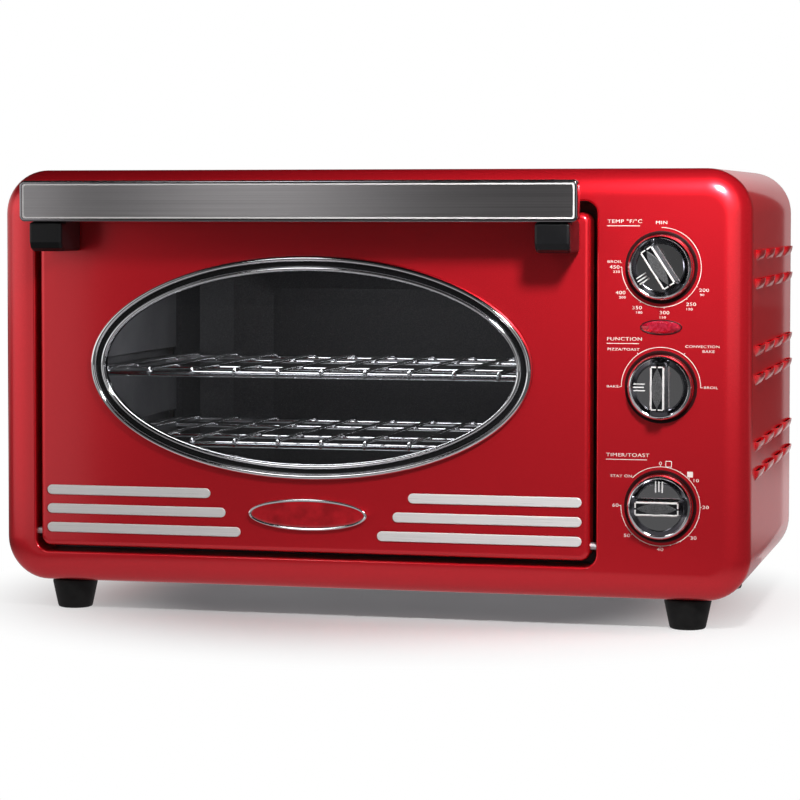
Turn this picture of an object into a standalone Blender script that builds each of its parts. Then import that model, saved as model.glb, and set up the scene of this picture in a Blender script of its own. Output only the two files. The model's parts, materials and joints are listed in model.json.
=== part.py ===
"""Countertop convection oven: drop-down door with an oval window, and three dials beside it.

Lengths are metres. X runs to the right of someone who faces the oven, Y runs from its front to
its back and Z runs up. The origin is the middle of the footprint, on the surface it stands on.
Depths are measured from the flat front face of the bezel, and heights from the body's underside.
"""
from math import cos
from math import pi
from math import radians
from math import sin

import bmesh
import bpy
from mathutils import Matrix
from mathutils import Vector

# Fits and cutting allowances
FIT = 0.0003
OVERRUN = 0.002
LEAST_RADIUS = 0.0006
END_FLAT = 0.00006
WELD = 0.0005

# Casing
BODY_WIDTH = 0.500
BODY_HEIGHT = 0.275
BODY_DEPTH = 0.256
CORNER_RADIUS = 0.029
CASING_SHEET = 0.0012
UNDER_FLANGE = 0.060

# Feet
FOOT_HEIGHT = 0.020
FOOT_TOP_RADIUS = 0.0152
FOOT_SOLE_RADIUS = 0.0118
FOOT_EDGE = 0.0016
FOOT_SIDE_INSET = 0.042
FOOT_FRONT_DEPTH = 0.026
FOOT_REAR_INSET = 0.028
FOOT_SCREW_RADIUS = 0.0045
FOOT_SCREW_DEPTH = 0.008

# Front bezel and its openings
BEZEL_DEPTH = 0.013
BEZEL_WALL = 0.0022
BEZEL_ROLL_WIDTH = 0.018
BEZEL_ROLL_DEPTH = 0.0115
LEFT_BAR = 0.0235
CONTROL_PANEL = 0.0975
BOTTOM_BAR = 0.0203
TOP_BAR = 0.0206
OPENING_RADIUS = 0.0085
OPENING_FLARE = 0.0014
SLEEVE_WALL = 0.002
SLEEVE_DEPTH = 0.0245

# Door
DOOR_PROUD = 0.002
DOOR_THICKNESS = 0.022
DOOR_SIDE_GAP = 0.004
DOOR_FOOT_GAP = 0.0042
DOOR_HEAD_GAP = 0.0074
DOOR_RADIUS = 0.0065
DOOR_ROLL = 0.0036
DOOR_SKIN = 0.0016
DOOR_SKIN_DEPTH = 0.015
DOOR_LINER_INSET = 0.0015
DOOR_LINER_SHEET = 0.0012
DOOR_LINER_ROLL = 0.002
LINER_WINDOW_SIDE = 0.0195
LINER_WINDOW_RISE = 0.013
LINER_WINDOW_RADIUS = 0.018
GLASS_THICKNESS = 0.004
GLASS_LAP = 0.006
HINGE_SETBACK = 0.0075
HINGE_RISE = 0.0090
HINGE_PIN_RADIUS = 0.0025
HINGE_PIN_HEAD_RADIUS = 0.0032
HINGE_PIN_HEAD = 0.002
HINGE_PLATE = 0.0015
HINGE_PLATE_HEIGHT = 0.022
HINGE_PLATE_DEPTH = 0.017
HINGE_PLATE_RADIUS = 0.004

# Oval window ring
WINDOW_SIDE_MARGIN = 0.047
WINDOW_FOOT_MARGIN = 0.0583
WINDOW_HEAD_MARGIN = 0.0382
RING_BASE = 0.0012
RING_NECK = 0.0030
RING_WIDTH = 0.0103
INNER_BEAD_WIDTH = 0.0034
INNER_BEAD_HEIGHT = 0.0024
OUTER_BEAD_WIDTH = 0.0042
OUTER_BEAD_HEIGHT = 0.0034

# Stripes and badge plate on the door
STRIPE_HEIGHT = 0.0065
STRIPE_PITCH = 0.01255
STRIPE_RISE = 0.0123
STRIPE_MARGIN = 0.005
STRIPE_REACH = 0.0462
STRIPE_STEP = 0.01035
STRIPE_GROOVE = 0.0009
STRIPE_GROOVE_MARGIN = 0.0006
STRIPE_PROUD = 0.0008
STRIPE_CROWN = 0.0005
BADGE_WIDTH = 0.080
BADGE_HEIGHT = 0.021
BADGE_THICKNESS = 0.0030
BADGE_EDGE = 0.0010
BADGE_RISE = 0.0253

# Handle
HANDLE_STANDOFF = 0.043
HANDLE_SIDE_INSET = 0.00125
HANDLE_HEIGHT = 0.0265
HANDLE_FOOT_DROP = 0.006
HANDLE_DEPTH = 0.0095
HANDLE_RADIUS = 0.0035
HANDLE_ROLL = 0.0012
HANDLE_RIM = 0.0019
HANDLE_PLATE_DEPTH = 0.0012
BRACKET_WIDTH = 0.0225
BRACKET_INSET = 0.0055
BRACKET_DROP = 0.0195
BRACKET_FOOT_RISE = 0.0195
BRACKET_FRONT_SETBACK = 0.003
BRACKET_CHIN = 0.006
BRACKET_BACK_GAP = 0.0015
BRACKET_TOP_INSET = 0.004
BRACKET_EDGE = 0.0018

# Dials and controls
DIAL_EDGE_DISTANCE = 0.0564
DIAL_DROP = 0.001
DIAL_END_RISE = 0.0617
DIAL_RECESS_RADIUS = 0.0218
DIAL_RECESS = 0.0012
KNOB_RADIUS = 0.0207
KNOB_SKIRT_TAPER = 0.0006
KNOB_LIFT = 0.0008
KNOB_SIDE = 0.0058
KNOB_RIM_HEIGHT = 0.0088
KNOB_RIM_SHOULDER = 0.0012
KNOB_RIM_WIDTH = 0.0036
KNOB_FACE_HEIGHT = 0.0068
GRIP_LENGTH = 0.0318
GRIP_WIDTH = 0.0128
GRIP_HEIGHT = 0.0185
GRIP_TOP_LENGTH = 0.0286
GRIP_TOP_WIDTH = 0.0088
GRIP_CROWN = 0.0012
GRIP_END_SHARE = 0.35
KNOB_HUB_SHARE = 1.6
SHAFT_RADIUS = 0.003
SHAFT_FLAT = 0.0008
SHAFT_IN_KNOB = 0.011
SHAFT_TAIL = 0.010
COLLAR_RADIUS = 0.0052
COLLAR_LENGTH = 0.006
PANEL_HOLE_RADIUS = 0.006
CONTROL_PLATE_DEPTH = 0.016
CONTROL_PLATE_SHEET = 0.0012
CONTROL_PLATE_WIDTH = 0.068
CONTROL_PLATE_END = 0.0312
CONTROL_PLATE_RADIUS = 0.004
STUD_RADIUS = 0.0035
STUD_INSET = 0.007
THERMOSTAT_WIDTH = 0.034
THERMOSTAT_HEIGHT = 0.028
THERMOSTAT_DEPTH = 0.022
SWITCH_WIDTH = 0.040
SWITCH_HEIGHT = 0.036
SWITCH_DEPTH = 0.026
TIMER_RADIUS = 0.024
TIMER_DEPTH = 0.030
CONTROL_EDGE = 0.002
PILOT_WIDTH = 0.0252
PILOT_HEIGHT = 0.0084
PILOT_CROWN = 0.0026
PILOT_RIM = 0.0010
PILOT_SLOPE_SHARES = (0.8, 1.9)
PILOT_STEM_MARGIN = 0.0016
PILOT_STEM = 0.005
LAMP_RADIUS = 0.0028
LAMP_LENGTH = 0.0072
LAMP_SHOULDER = 0.0015

# Cooking cavity
CAVITY_SIDE_INSET = 0.0195
CAVITY_ROOF_GAP = 0.032
CAVITY_FLOOR_RISE = 0.037
CAVITY_SHEET = 0.001
CAVITY_REAR_GAP = 0.006
FACE_FRAME_DEPTH = 0.0228
FACE_FRAME_SHEET = 0.0012
FACE_FRAME_RADIUS = 0.008
GROOVE_DEPTH = 0.006
GROOVE_HEIGHT = 0.010
GROOVE_DRAFT = 0.0015
FLOOR_RIB_HEIGHT = 0.002
FLOOR_RIB_WIDTH = 0.008
FLOOR_RIB_INSET = 0.030

# Racks
RACK_RISE_SHARES = (0.2646, 0.4927)
RACK_REACH = 0.0045
RACK_ROD_RADIUS = 0.0021
RACK_WIRE_RADIUS = 0.0014
RACK_WIRE_MARGIN = 0.0224
RACK_WIRES = 11
RACK_BITE = 0.0006
RACK_FRONT_DEPTH = 0.034
RACK_REAR_GAP = 0.004
RACK_CORNER = 0.012
RACK_CROSS_PITCH = 0.090

# Heating rods
HEATER_RADIUS = 0.0034
HEATER_NECK_RADIUS = 0.0052
HEATER_COLLAR_RADIUS = 0.0072
HEATER_COLLAR = 0.004
HEATER_NECK_INSIDE = 0.007
HEATER_TERMINAL_RADIUS = 0.002
HEATER_TERMINAL = 0.008
HEATER_WALL_GAP = 0.0158
HEATER_FRONT_DEPTH = 0.088
HEATER_REAR_GAP = 0.058

# Crumb tray
TRAY_SIDE_GAP = 0.006
TRAY_FRONT_DEPTH = 0.032
TRAY_REAR_GAP = 0.006
TRAY_HEIGHT = 0.008
TRAY_SHEET = 0.0009
TRAY_SLOPE = 0.003
TRAY_RADIUS = 0.006

# Convection fan
FAN_DEPTH = 0.146
FAN_LIFT = 0.00125
FAN_TIP_GAP = 0.007
FAN_BLADES = 8
FAN_BLADE_SHEET = 0.0009
FAN_BLADE_WIDTH = 0.010
FAN_BLADE_PITCH = 0.0020
FAN_BLADE_HUB_OVERLAP = 0.001
FAN_HUB_RADIUS = 0.008
FAN_HUB_LENGTH = 0.012
FAN_SHAFT_RADIUS = 0.0025
FAN_SHAFT_LENGTH = 0.022
FAN_WALL_GAP = 0.003
FAN_HOUSING_MARGIN = 0.01125
FAN_HOUSING_SHEET = 0.001
FAN_HOUSING_LENGTH = 0.018
FAN_HOUSING_LIP = 0.003
FAN_SLOTS = 10
FAN_SLOT_WIDTH = 0.004
FAN_SLOT_START = 0.010
FAN_SLOT_INSET = 0.004
MOTOR_RADIUS = 0.021
MOTOR_LENGTH = 0.030
MOTOR_EDGE = 0.002

# Rear bulge and back cover
BULGE_DEPTH = 0.047
BULGE_SIDE_SLOPE = 0.060
BULGE_HEAD_SLOPE = 0.050
BULGE_FOOT_SLOPE = 0.014
BULGE_RADIUS = 0.030
BULGE_CASING_MARGIN = 0.006
CAVITY_BULGE_DEPTH = 0.043
CAVITY_BULGE_RADIUS = 0.022
CAVITY_BULGE_LIP = 0.004
REAR_SLOT_WIDTH = 0.052
REAR_SLOT_HEIGHT = 0.0035
REAR_SLOT_PITCH = 0.011
REAR_SLOTS = 9
REAR_SLOT_RISE = 0.092
GLAND_RADIUS = 0.0075
GLAND_BORE = 0.0038
GLAND_COLLAR = 0.0105
GLAND_COLLAR_DEPTH = 0.004
GLAND_LENGTH = 0.010
GLAND_RISE = 0.028
GLAND_EDGE_DISTANCE = 0.052

# Base plate
BASE_SHEET = 0.0012
BASE_LIP = 0.008
BASE_SIDE_INSET = 0.032
BASE_FRONT_DEPTH = 0.0135
BASE_SLOT_LENGTH = 0.040
BASE_SLOT_WIDTH = 0.005
BASE_SLOT_PITCH = 0.060
BASE_SLOTS = 5
BASE_SLOT_ROW_PITCH = 0.120

# Louvres pressed in both sides
LOUVRE_SPACING = 0.014
LOUVRE_HEIGHT = 0.0070
LOUVRE_BULGE = 0.0036
LOUVRE_SHEET = 0.0008
LOUVRE_SINK = 0.0003
LOUVRE_SLOT_SIDE = 0.004
LOUVRE_SLOT_FOOT = 0.0018
LOUVRE_FIRST_DEPTH = 0.050
LOUVRE_LAST_INSET = 0.026
LOUVRE_COLUMNS = 4
LOUVRE_ROW_GAP = 0.0184
LOUVRE_END_RISE = 0.0762
LOUVRE_PAIRS = 3
LOUVRE_LIFT = 0.0115
LOUVRE_STATIONS = 3
LOUVRE_SWELL_SHARES = (0.72, 0.45)

# Facet counts
CORNER_STEPS = 5
ROLL_STEPS = 3
OVAL_SIDES = 44
DIAL_SIDES = 20
SMALL_SIDES = 8
WIRE_SIDES = 6
ROD_SIDES = 6
FOOT_SIDES = 14
PILOT_SIDES = 16
STRIPE_END_STEPS = 2
GRIP_END_STEPS = 3
COARSE_STEPS = 2
EDGE_SEGMENTS = 2
EDGE_ANGLE = 50.0
STRIPE_ROWS = 3

# Places worked out from the sizes above
TOTAL_DEPTH = HANDLE_STANDOFF + BODY_DEPTH + FIT + CASING_SHEET + BULGE_DEPTH
FRONT_Y = HANDLE_STANDOFF - TOTAL_DEPTH / 2
FLOOR_Z = FOOT_HEIGHT
BODY_TOP = FLOOR_Z + BODY_HEIGHT
BODY_BOX = (-BODY_WIDTH / 2, BODY_WIDTH / 2, FLOOR_Z, BODY_TOP)
OPENING_BOX = (
    BODY_BOX[0] + LEFT_BAR,
    BODY_BOX[1] - CONTROL_PANEL,
    FLOOR_Z + BOTTOM_BAR,
    BODY_TOP - TOP_BAR,
)
DOOR_BOX = (
    OPENING_BOX[0] + DOOR_SIDE_GAP,
    OPENING_BOX[1] - DOOR_SIDE_GAP,
    OPENING_BOX[2] + DOOR_FOOT_GAP,
    OPENING_BOX[3] - DOOR_HEAD_GAP,
)
DOOR_X = (DOOR_BOX[0] + DOOR_BOX[1]) / 2
WINDOW_WIDTH = DOOR_BOX[1] - DOOR_BOX[0] - WINDOW_SIDE_MARGIN * 2
WINDOW_FOOT = DOOR_BOX[2] + WINDOW_FOOT_MARGIN
WINDOW_HEIGHT = DOOR_BOX[3] - WINDOW_HEAD_MARGIN - WINDOW_FOOT
WINDOW_Z = WINDOW_FOOT + WINDOW_HEIGHT / 2
LINER_WINDOW_WIDTH = WINDOW_WIDTH + LINER_WINDOW_SIDE * 2
LINER_WINDOW_HEIGHT = WINDOW_HEIGHT + LINER_WINDOW_RISE * 2
HINGE_DEPTH = HINGE_SETBACK - DOOR_PROUD
HINGE_Z = DOOR_BOX[2] + HINGE_RISE
CAVITY_FLOOR = FLOOR_Z + CAVITY_FLOOR_RISE
CAVITY_BOX = (
    OPENING_BOX[0] + CAVITY_SIDE_INSET,
    OPENING_BOX[1] - CAVITY_SIDE_INSET,
    CAVITY_FLOOR,
    BODY_TOP - CAVITY_ROOF_GAP,
)
CAVITY_HALF = (CAVITY_BOX[1] - CAVITY_BOX[0]) / 2
CAVITY_FRONT = FACE_FRAME_DEPTH + FACE_FRAME_SHEET + FIT
CAVITY_REAR = BODY_DEPTH - CAVITY_REAR_GAP
RACK_HEIGHTS = [
    CAVITY_BOX[2] + (CAVITY_BOX[3] - CAVITY_BOX[2]) * share for share in RACK_RISE_SHARES
]
RACK_HALF = CAVITY_HALF + RACK_REACH - RACK_ROD_RADIUS
RACK_WIRE_PITCH = (RACK_HALF - RACK_WIRE_MARGIN) * 2 / (RACK_WIRES - 1)
RACK_REAR_DEPTH = CAVITY_REAR - RACK_REAR_GAP
DIAL_X = BODY_BOX[1] - DIAL_EDGE_DISTANCE
DIAL_MIDDLE = FLOOR_Z + BODY_HEIGHT / 2 - DIAL_DROP
DIAL_PITCH = BODY_HEIGHT / 2 - DIAL_END_RISE
CONTROL_PLATE_HEIGHT = (DIAL_PITCH + CONTROL_PLATE_END) * 2
DIAL_HEIGHTS = (DIAL_MIDDLE + DIAL_PITCH, DIAL_MIDDLE, DIAL_MIDDLE - DIAL_PITCH)
PILOT_Z = DIAL_MIDDLE + DIAL_PITCH / 2
HEATER_HEIGHTS = (CAVITY_BOX[3] - HEATER_WALL_GAP, CAVITY_BOX[2] + HEATER_WALL_GAP)
HEATER_DEPTHS = (HEATER_FRONT_DEPTH, CAVITY_REAR - HEATER_REAR_GAP)
FAN_ROOM = (CAVITY_BOX[3] - RACK_HEIGHTS[1]) / 2
FAN_Z = RACK_HEIGHTS[1] + FAN_ROOM + FAN_LIFT
FAN_HOUSING_RADIUS = FAN_ROOM - FAN_HOUSING_MARGIN
FAN_RADIUS = FAN_HOUSING_RADIUS - FAN_TIP_GAP
KNOB_BACK = DIAL_RECESS - KNOB_LIFT
LOUVRE_LAST_DEPTH = BODY_DEPTH - LOUVRE_LAST_INSET
LOUVRE_PITCH = (LOUVRE_LAST_DEPTH - LOUVRE_FIRST_DEPTH) / (LOUVRE_COLUMNS - 1)
LOUVRE_LENGTH = LOUVRE_PITCH - LOUVRE_SPACING
LOUVRE_PAIR_PITCH = BODY_HEIGHT / 2 - LOUVRE_END_RISE

# Clockwise turns of each pointer from straight up, as the dials stand
KNOB_TURNS = (237.0, 270.0, 0.0)


def clear_scene():
    """Take out whatever the scene holds, so that the model starts from nothing."""
    for item in list(bpy.data.objects):
        bpy.data.objects.remove(item, do_unlink=True)


def make_material(name, colour, roughness, metallic):
    """One Principled material with the piece's colour and finish."""
    material = bpy.data.materials.new(name)
    material.use_nodes = True
    shader = material.node_tree.nodes["Principled BSDF"]
    shader.inputs["Base Color"].default_value = (*colour, 1.0)
    shader.inputs["Roughness"].default_value = roughness
    shader.inputs["Metallic"].default_value = metallic
    material.diffuse_color = (*colour, 1.0)
    return material


def inset_box(box, side, foot, head):
    """The box drawn in by one distance at both sides, and by others below and above."""
    return (box[0] + side, box[1] - side, box[2] + foot, box[3] - head)


def grow_box(box, distance):
    """The box made larger by the same distance all round."""
    return inset_box(box, -distance, -distance, -distance)


def centred_box(x, z, width, height):
    """The box of one width and height about a point."""
    return (x - width / 2, x + width / 2, z - height / 2, z + height / 2)


def rounded_outline(box, radius, steps=CORNER_STEPS):
    """Points (x, z) round a box with rounded corners, anticlockwise from its lower right."""
    left, right, foot, head = box
    corners = (
        (right - radius, foot + radius, -pi / 2),
        (right - radius, head - radius, 0.0),
        (left + radius, head - radius, pi / 2),
        (left + radius, foot + radius, pi),
    )
    points = []
    for x, z, start in corners:
        for step in range(steps + 1):
            angle = start + (pi / 2) * step / steps
            points.append((x + radius * cos(angle), z + radius * sin(angle)))
    return points


def oval_outline(x, z, half_width, half_height, sides):
    """Points (x, z) round an ellipse."""
    points = []
    for side in range(sides):
        angle = 2 * pi * side / sides
        points.append((x + half_width * cos(angle), z + half_height * sin(angle)))
    return points


def slot_outline(box, steps=CORNER_STEPS):
    """Points (x, z) round a bar whose ends are half circles."""
    radius = (box[3] - box[2]) / 2 - END_FLAT
    return rounded_outline(box, radius, steps)


def ring_at(outline, depth):
    """An outline stood upright at a depth behind the bezel's face."""
    return [Vector((x, FRONT_Y + depth, z)) for x, z in outline]


def loft_into(mesh, rings, loop=False):
    """Add a closed body through rings of equal length, capped at its ends or joined in a loop."""
    rows = [[mesh.verts.new(point) for point in ring] for ring in rings]
    count = len(rows[0])
    pairs = list(zip(rows, rows[1:]))
    if loop:
        pairs.append((rows[-1], rows[0]))
    for first, second in pairs:
        for index in range(count):
            after = (index + 1) % count
            mesh.faces.new((first[index], first[after], second[after], second[index]))
    if not loop:
        mesh.faces.new(rows[0])
        mesh.faces.new(list(reversed(rows[-1])))


def make_object(name, bodies, material=None, smooth_angle=40.0):
    """An object from bodies, each a list of rings, or a (rings, True) pair for a loop."""
    mesh = bmesh.new()
    for body in bodies:
        if isinstance(body, tuple):
            loft_into(mesh, body[0], loop=body[1])
        else:
            loft_into(mesh, body)
    bmesh.ops.recalc_face_normals(mesh, faces=mesh.faces)
    data = bpy.data.meshes.new(name)
    mesh.to_mesh(data)
    mesh.free()
    item = bpy.data.objects.new(name, data)
    bpy.context.scene.collection.objects.link(item)
    if material is not None:
        data.materials.append(material)
        data.shade_smooth()
        data.set_sharp_from_angle(angle=radians(smooth_angle))
    return item


def make_tool(name, bodies):
    """A hidden object that cuts another one or is joined to it."""
    tool = make_object(name, bodies)
    tool.hide_render = True
    tool.display_type = "WIRE"
    return tool


def combine(item, tool, operation):
    """Cut the tool from the item, or join it on, with an exact Boolean."""
    step = item.modifiers.new(tool.name, "BOOLEAN")
    step.operation = operation
    step.solver = "EXACT"
    step.object = tool


def cut(item, name, bodies):
    """Cut closed bodies from an item."""
    combine(item, make_tool(name, bodies), "DIFFERENCE")


def join(item, name, bodies):
    """Join closed bodies to an item."""
    combine(item, make_tool(name, bodies), "UNION")


def prism(outline, front, back):
    """An outline carried straight back from one depth to another."""
    return [ring_at(outline, front), ring_at(outline, back)]


def block(box, front, back):
    """A plain box between two depths."""
    left, right, foot, head = box
    outline = [(left, foot), (right, foot), (right, head), (left, head)]
    return prism(outline, front, back)


def rolled_rings(box, radius, rolls, rim, face, roll_depth, steps=ROLL_STEPS):
    """Rings from a rim to a face, with the edge rolled over as a quarter of an ellipse.

    The rolls are how far the face is drawn in at the sides, below and above. The face may lie
    before or behind the rim.
    """
    toward = 1.0 if face > rim else -1.0
    rings = [ring_at(rounded_outline(box, radius), rim)]
    for step in range(steps + 1):
        angle = (pi / 2) * step / steps
        share = 1 - cos(angle)
        side, foot, head = [roll * share for roll in rolls]
        corner = max(radius - min(side, foot, head), LEAST_RADIUS)
        depth = face - toward * roll_depth * (1 - sin(angle))
        outline = rounded_outline(inset_box(box, side, foot, head), corner)
        rings.append(ring_at(outline, depth))
    return rings


def pan_rings(box, radius, rolls, rim, face, roll_depth, wall, steps=ROLL_STEPS):
    """Rings of a thin pan: up its inside from the middle to the rim, then over its outside."""
    toward = 1.0 if face > rim else -1.0
    inner_rolls = [max(roll - wall, LEAST_RADIUS) for roll in rolls]
    inner_radius = max(radius - wall, LEAST_RADIUS)
    inner = rolled_rings(
        grow_box(box, -wall),
        inner_radius,
        inner_rolls,
        rim,
        face - toward * wall,
        max(roll_depth - wall, LEAST_RADIUS),
        steps,
    )
    outer = rolled_rings(box, radius, rolls, rim, face, roll_depth, steps)
    return list(reversed(inner)) + outer


def turned_rings(profile, centre, sides, axis="Y"):
    """Rings of a turned shape from (radius, distance) pairs along an axis through a point."""
    rings = []
    for radius, distance in profile:
        ring = []
        for side in range(sides):
            angle = 2 * pi * side / sides
            across = radius * cos(angle)
            up = radius * sin(angle)
            if axis == "Y":
                ring.append(centre + Vector((across, distance, up)))
            elif axis == "X":
                ring.append(centre + Vector((distance, across, up)))
            else:
                ring.append(centre + Vector((across, up, distance)))
        rings.append(ring)
    return rings


def tube_rings(path, radius, sides, loop=False):
    """Rings round a path of points that lie in one level plane."""
    rings = []
    count = len(path)
    up = Vector((0.0, 0.0, 1.0))
    for index, point in enumerate(path):
        before = path[index - 1] if loop or index else path[0]
        after = path[(index + 1) % count] if loop or index < count - 1 else path[-1]
        along = (after - before).normalized()
        across = along.cross(up)
        ring = []
        for side in range(sides):
            angle = 2 * pi * (side + 0.5) / sides
            ring.append(point + radius * (across * cos(angle) + up * sin(angle)))
        rings.append(ring)
    return rings


def oval_ring_body(section, sides=OVAL_SIDES):
    """A body round the window from a section of (distance outside the glass, depth) pairs."""
    rings = []
    for side in range(sides):
        angle = 2 * pi * side / sides
        ring = []
        for outward, depth in section:
            x = DOOR_X + (WINDOW_WIDTH / 2 + outward) * cos(angle)
            z = WINDOW_Z + (WINDOW_HEIGHT / 2 + outward) * sin(angle)
            ring.append(Vector((x, FRONT_Y + depth, z)))
        rings.append(ring)
    return (rings, True)


def bead_section(start, width, seat, height, steps):
    """A half-round section that rises forward from a seat."""
    section = []
    for step in range(steps + 1):
        angle = pi * step / steps
        outward = start + width / 2 - (width / 2) * cos(angle)
        section.append((outward, seat - height * sin(angle)))
    return section


def point_at(x, depth, z):
    """A point at a depth behind the bezel's face."""
    return Vector((x, FRONT_Y + depth, z))


def set_origin(item, point):
    """Put an object's origin on a point and leave its shape where it is."""
    item.data.transform(Matrix.Translation(-point))
    item.location = point


def make_bezel(paint):
    """The moulded front: rolled outer edge, door sleeve, dial recesses and plate studs."""
    rolls = (BEZEL_ROLL_WIDTH, BEZEL_ROLL_WIDTH, BEZEL_ROLL_WIDTH)
    rings = pan_rings(
        BODY_BOX, CORNER_RADIUS, rolls, BEZEL_DEPTH, 0.0, BEZEL_ROLL_DEPTH, BEZEL_WALL
    )
    bezel = make_object("front_bezel", [rings], paint)
    sleeve_outline = rounded_outline(
        grow_box(OPENING_BOX, SLEEVE_WALL), OPENING_RADIUS + SLEEVE_WALL
    )
    join(bezel, "bezel_sleeve", [prism(sleeve_outline, BEZEL_WALL / 2, SLEEVE_DEPTH)])
    studs = []
    for side in (-1, 1):
        for level in (-1, 1):
            x = DIAL_X + side * (CONTROL_PLATE_WIDTH / 2 - STUD_INSET)
            z = DIAL_MIDDLE + level * (CONTROL_PLATE_HEIGHT / 2 - STUD_INSET)
            profile = (
                (STUD_RADIUS, BEZEL_WALL - WELD),
                (STUD_RADIUS, CONTROL_PLATE_DEPTH - FIT),
            )
            studs.append(turned_rings(profile, point_at(x, 0.0, z), SMALL_SIDES))
    join(bezel, "bezel_studs", studs)
    flared = grow_box(OPENING_BOX, OPENING_FLARE)
    opening = [
        ring_at(rounded_outline(flared, OPENING_RADIUS + OPENING_FLARE), -OVERRUN),
        ring_at(rounded_outline(flared, OPENING_RADIUS + OPENING_FLARE), 0.0),
        ring_at(rounded_outline(OPENING_BOX, OPENING_RADIUS), OPENING_FLARE),
        ring_at(rounded_outline(OPENING_BOX, OPENING_RADIUS), SLEEVE_DEPTH + OVERRUN),
    ]
    cut(bezel, "bezel_opening", [opening])
    recesses = []
    for z in DIAL_HEIGHTS:
        profile = (
            (DIAL_RECESS_RADIUS, -OVERRUN),
            (DIAL_RECESS_RADIUS, DIAL_RECESS),
            (PANEL_HOLE_RADIUS, DIAL_RECESS),
            (PANEL_HOLE_RADIUS, BEZEL_WALL + OVERRUN),
        )
        recesses.append(turned_rings(profile, point_at(DIAL_X, 0.0, z), DIAL_SIDES))
    stem_width = PILOT_WIDTH / 2 - PILOT_STEM_MARGIN + FIT
    stem_height = PILOT_HEIGHT / 2 - PILOT_STEM_MARGIN + FIT
    pilot_hole = oval_outline(DIAL_X, PILOT_Z, stem_width, stem_height, PILOT_SIDES)
    recesses.append(prism(pilot_hole, -OVERRUN, BEZEL_WALL + OVERRUN))
    cut(bezel, "bezel_holes", recesses)
    pin_holes = []
    for x in (OPENING_BOX[0] - SLEEVE_WALL - OVERRUN, OPENING_BOX[1] - OVERRUN):
        profile = (
            (HINGE_PIN_RADIUS + FIT, 0.0),
            (HINGE_PIN_RADIUS + FIT, SLEEVE_WALL + OVERRUN * 2),
        )
        pin_holes.append(
            turned_rings(profile, point_at(x, HINGE_DEPTH, HINGE_Z), SMALL_SIDES, "X")
        )
    cut(bezel, "bezel_pin_holes", pin_holes)
    return bezel


def louvre_places():
    """Depth and foot height of every louvre on one side."""
    middle = FLOOR_Z + BODY_HEIGHT / 2 + LOUVRE_LIFT
    for pair in range(LOUVRE_PAIRS):
        pair_z = middle + (pair - (LOUVRE_PAIRS - 1) / 2) * LOUVRE_PAIR_PITCH
        for row in (-1, 1):
            foot = pair_z + row * LOUVRE_ROW_GAP / 2 - LOUVRE_HEIGHT / 2
            for column in range(LOUVRE_COLUMNS):
                yield LOUVRE_FIRST_DEPTH + column * LOUVRE_PITCH, foot


def louvre_hood(side, depth, foot):
    """One pressed hood, closed below and at its ends and open above."""
    rings = []
    for station in range(LOUVRE_STATIONS + 1):
        share = 2 * station / LOUVRE_STATIONS - 1
        bulge = LOUVRE_BULGE * (1 - share * share)
        along = depth + share * LOUVRE_LENGTH / 2
        base = BODY_WIDTH / 2 - LOUVRE_SINK
        section = (
            (base, foot),
            (base + bulge * LOUVRE_SWELL_SHARES[0], foot + LOUVRE_HEIGHT * LOUVRE_SWELL_SHARES[1]),
            (base + bulge, foot + LOUVRE_HEIGHT),
            (base + bulge - LOUVRE_SHEET, foot + LOUVRE_HEIGHT),
            (base - LOUVRE_SHEET, foot + LOUVRE_SHEET),
        )
        rings.append([point_at(side * x, along, z) for x, z in section])
    return rings


def make_wrap(paint):
    """The casing sheet: over the top, down both sides and under at each edge."""
    outer = rounded_outline(BODY_BOX, CORNER_RADIUS)
    inner_radius = CORNER_RADIUS - CASING_SHEET
    inner = rounded_outline(grow_box(BODY_BOX, -CASING_SHEET), inner_radius)
    left_edge = BODY_BOX[0] + UNDER_FLANGE
    right_edge = BODY_BOX[1] - UNDER_FLANGE
    under = FLOOR_Z
    outline = [(right_edge, under), *outer, (left_edge, under)]
    outline.append((left_edge, under + CASING_SHEET))
    outline.extend(reversed(inner))
    outline.append((right_edge, under + CASING_SHEET))
    wrap = make_object(
        "housing_wrap", [prism(outline, BEZEL_DEPTH + FIT, BODY_DEPTH)], paint
    )
    slots = []
    hoods = []
    for side in (-1, 1):
        for depth, foot in louvre_places():
            half = LOUVRE_LENGTH / 2 - LOUVRE_SLOT_SIDE
            near = side * (BODY_WIDTH / 2 - CASING_SHEET - OVERRUN)
            far = side * (BODY_WIDTH / 2 + OVERRUN)
            head = foot + LOUVRE_HEIGHT - LOUVRE_SINK
            box = (min(near, far), max(near, far), foot + LOUVRE_SLOT_FOOT, head)
            slots.append(block(box, depth - half, depth + half))
            hoods.append(louvre_hood(side, depth, foot))
    cut(wrap, "louvre_slots", slots)
    join(wrap, "louvre_hoods", hoods)
    return wrap


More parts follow.
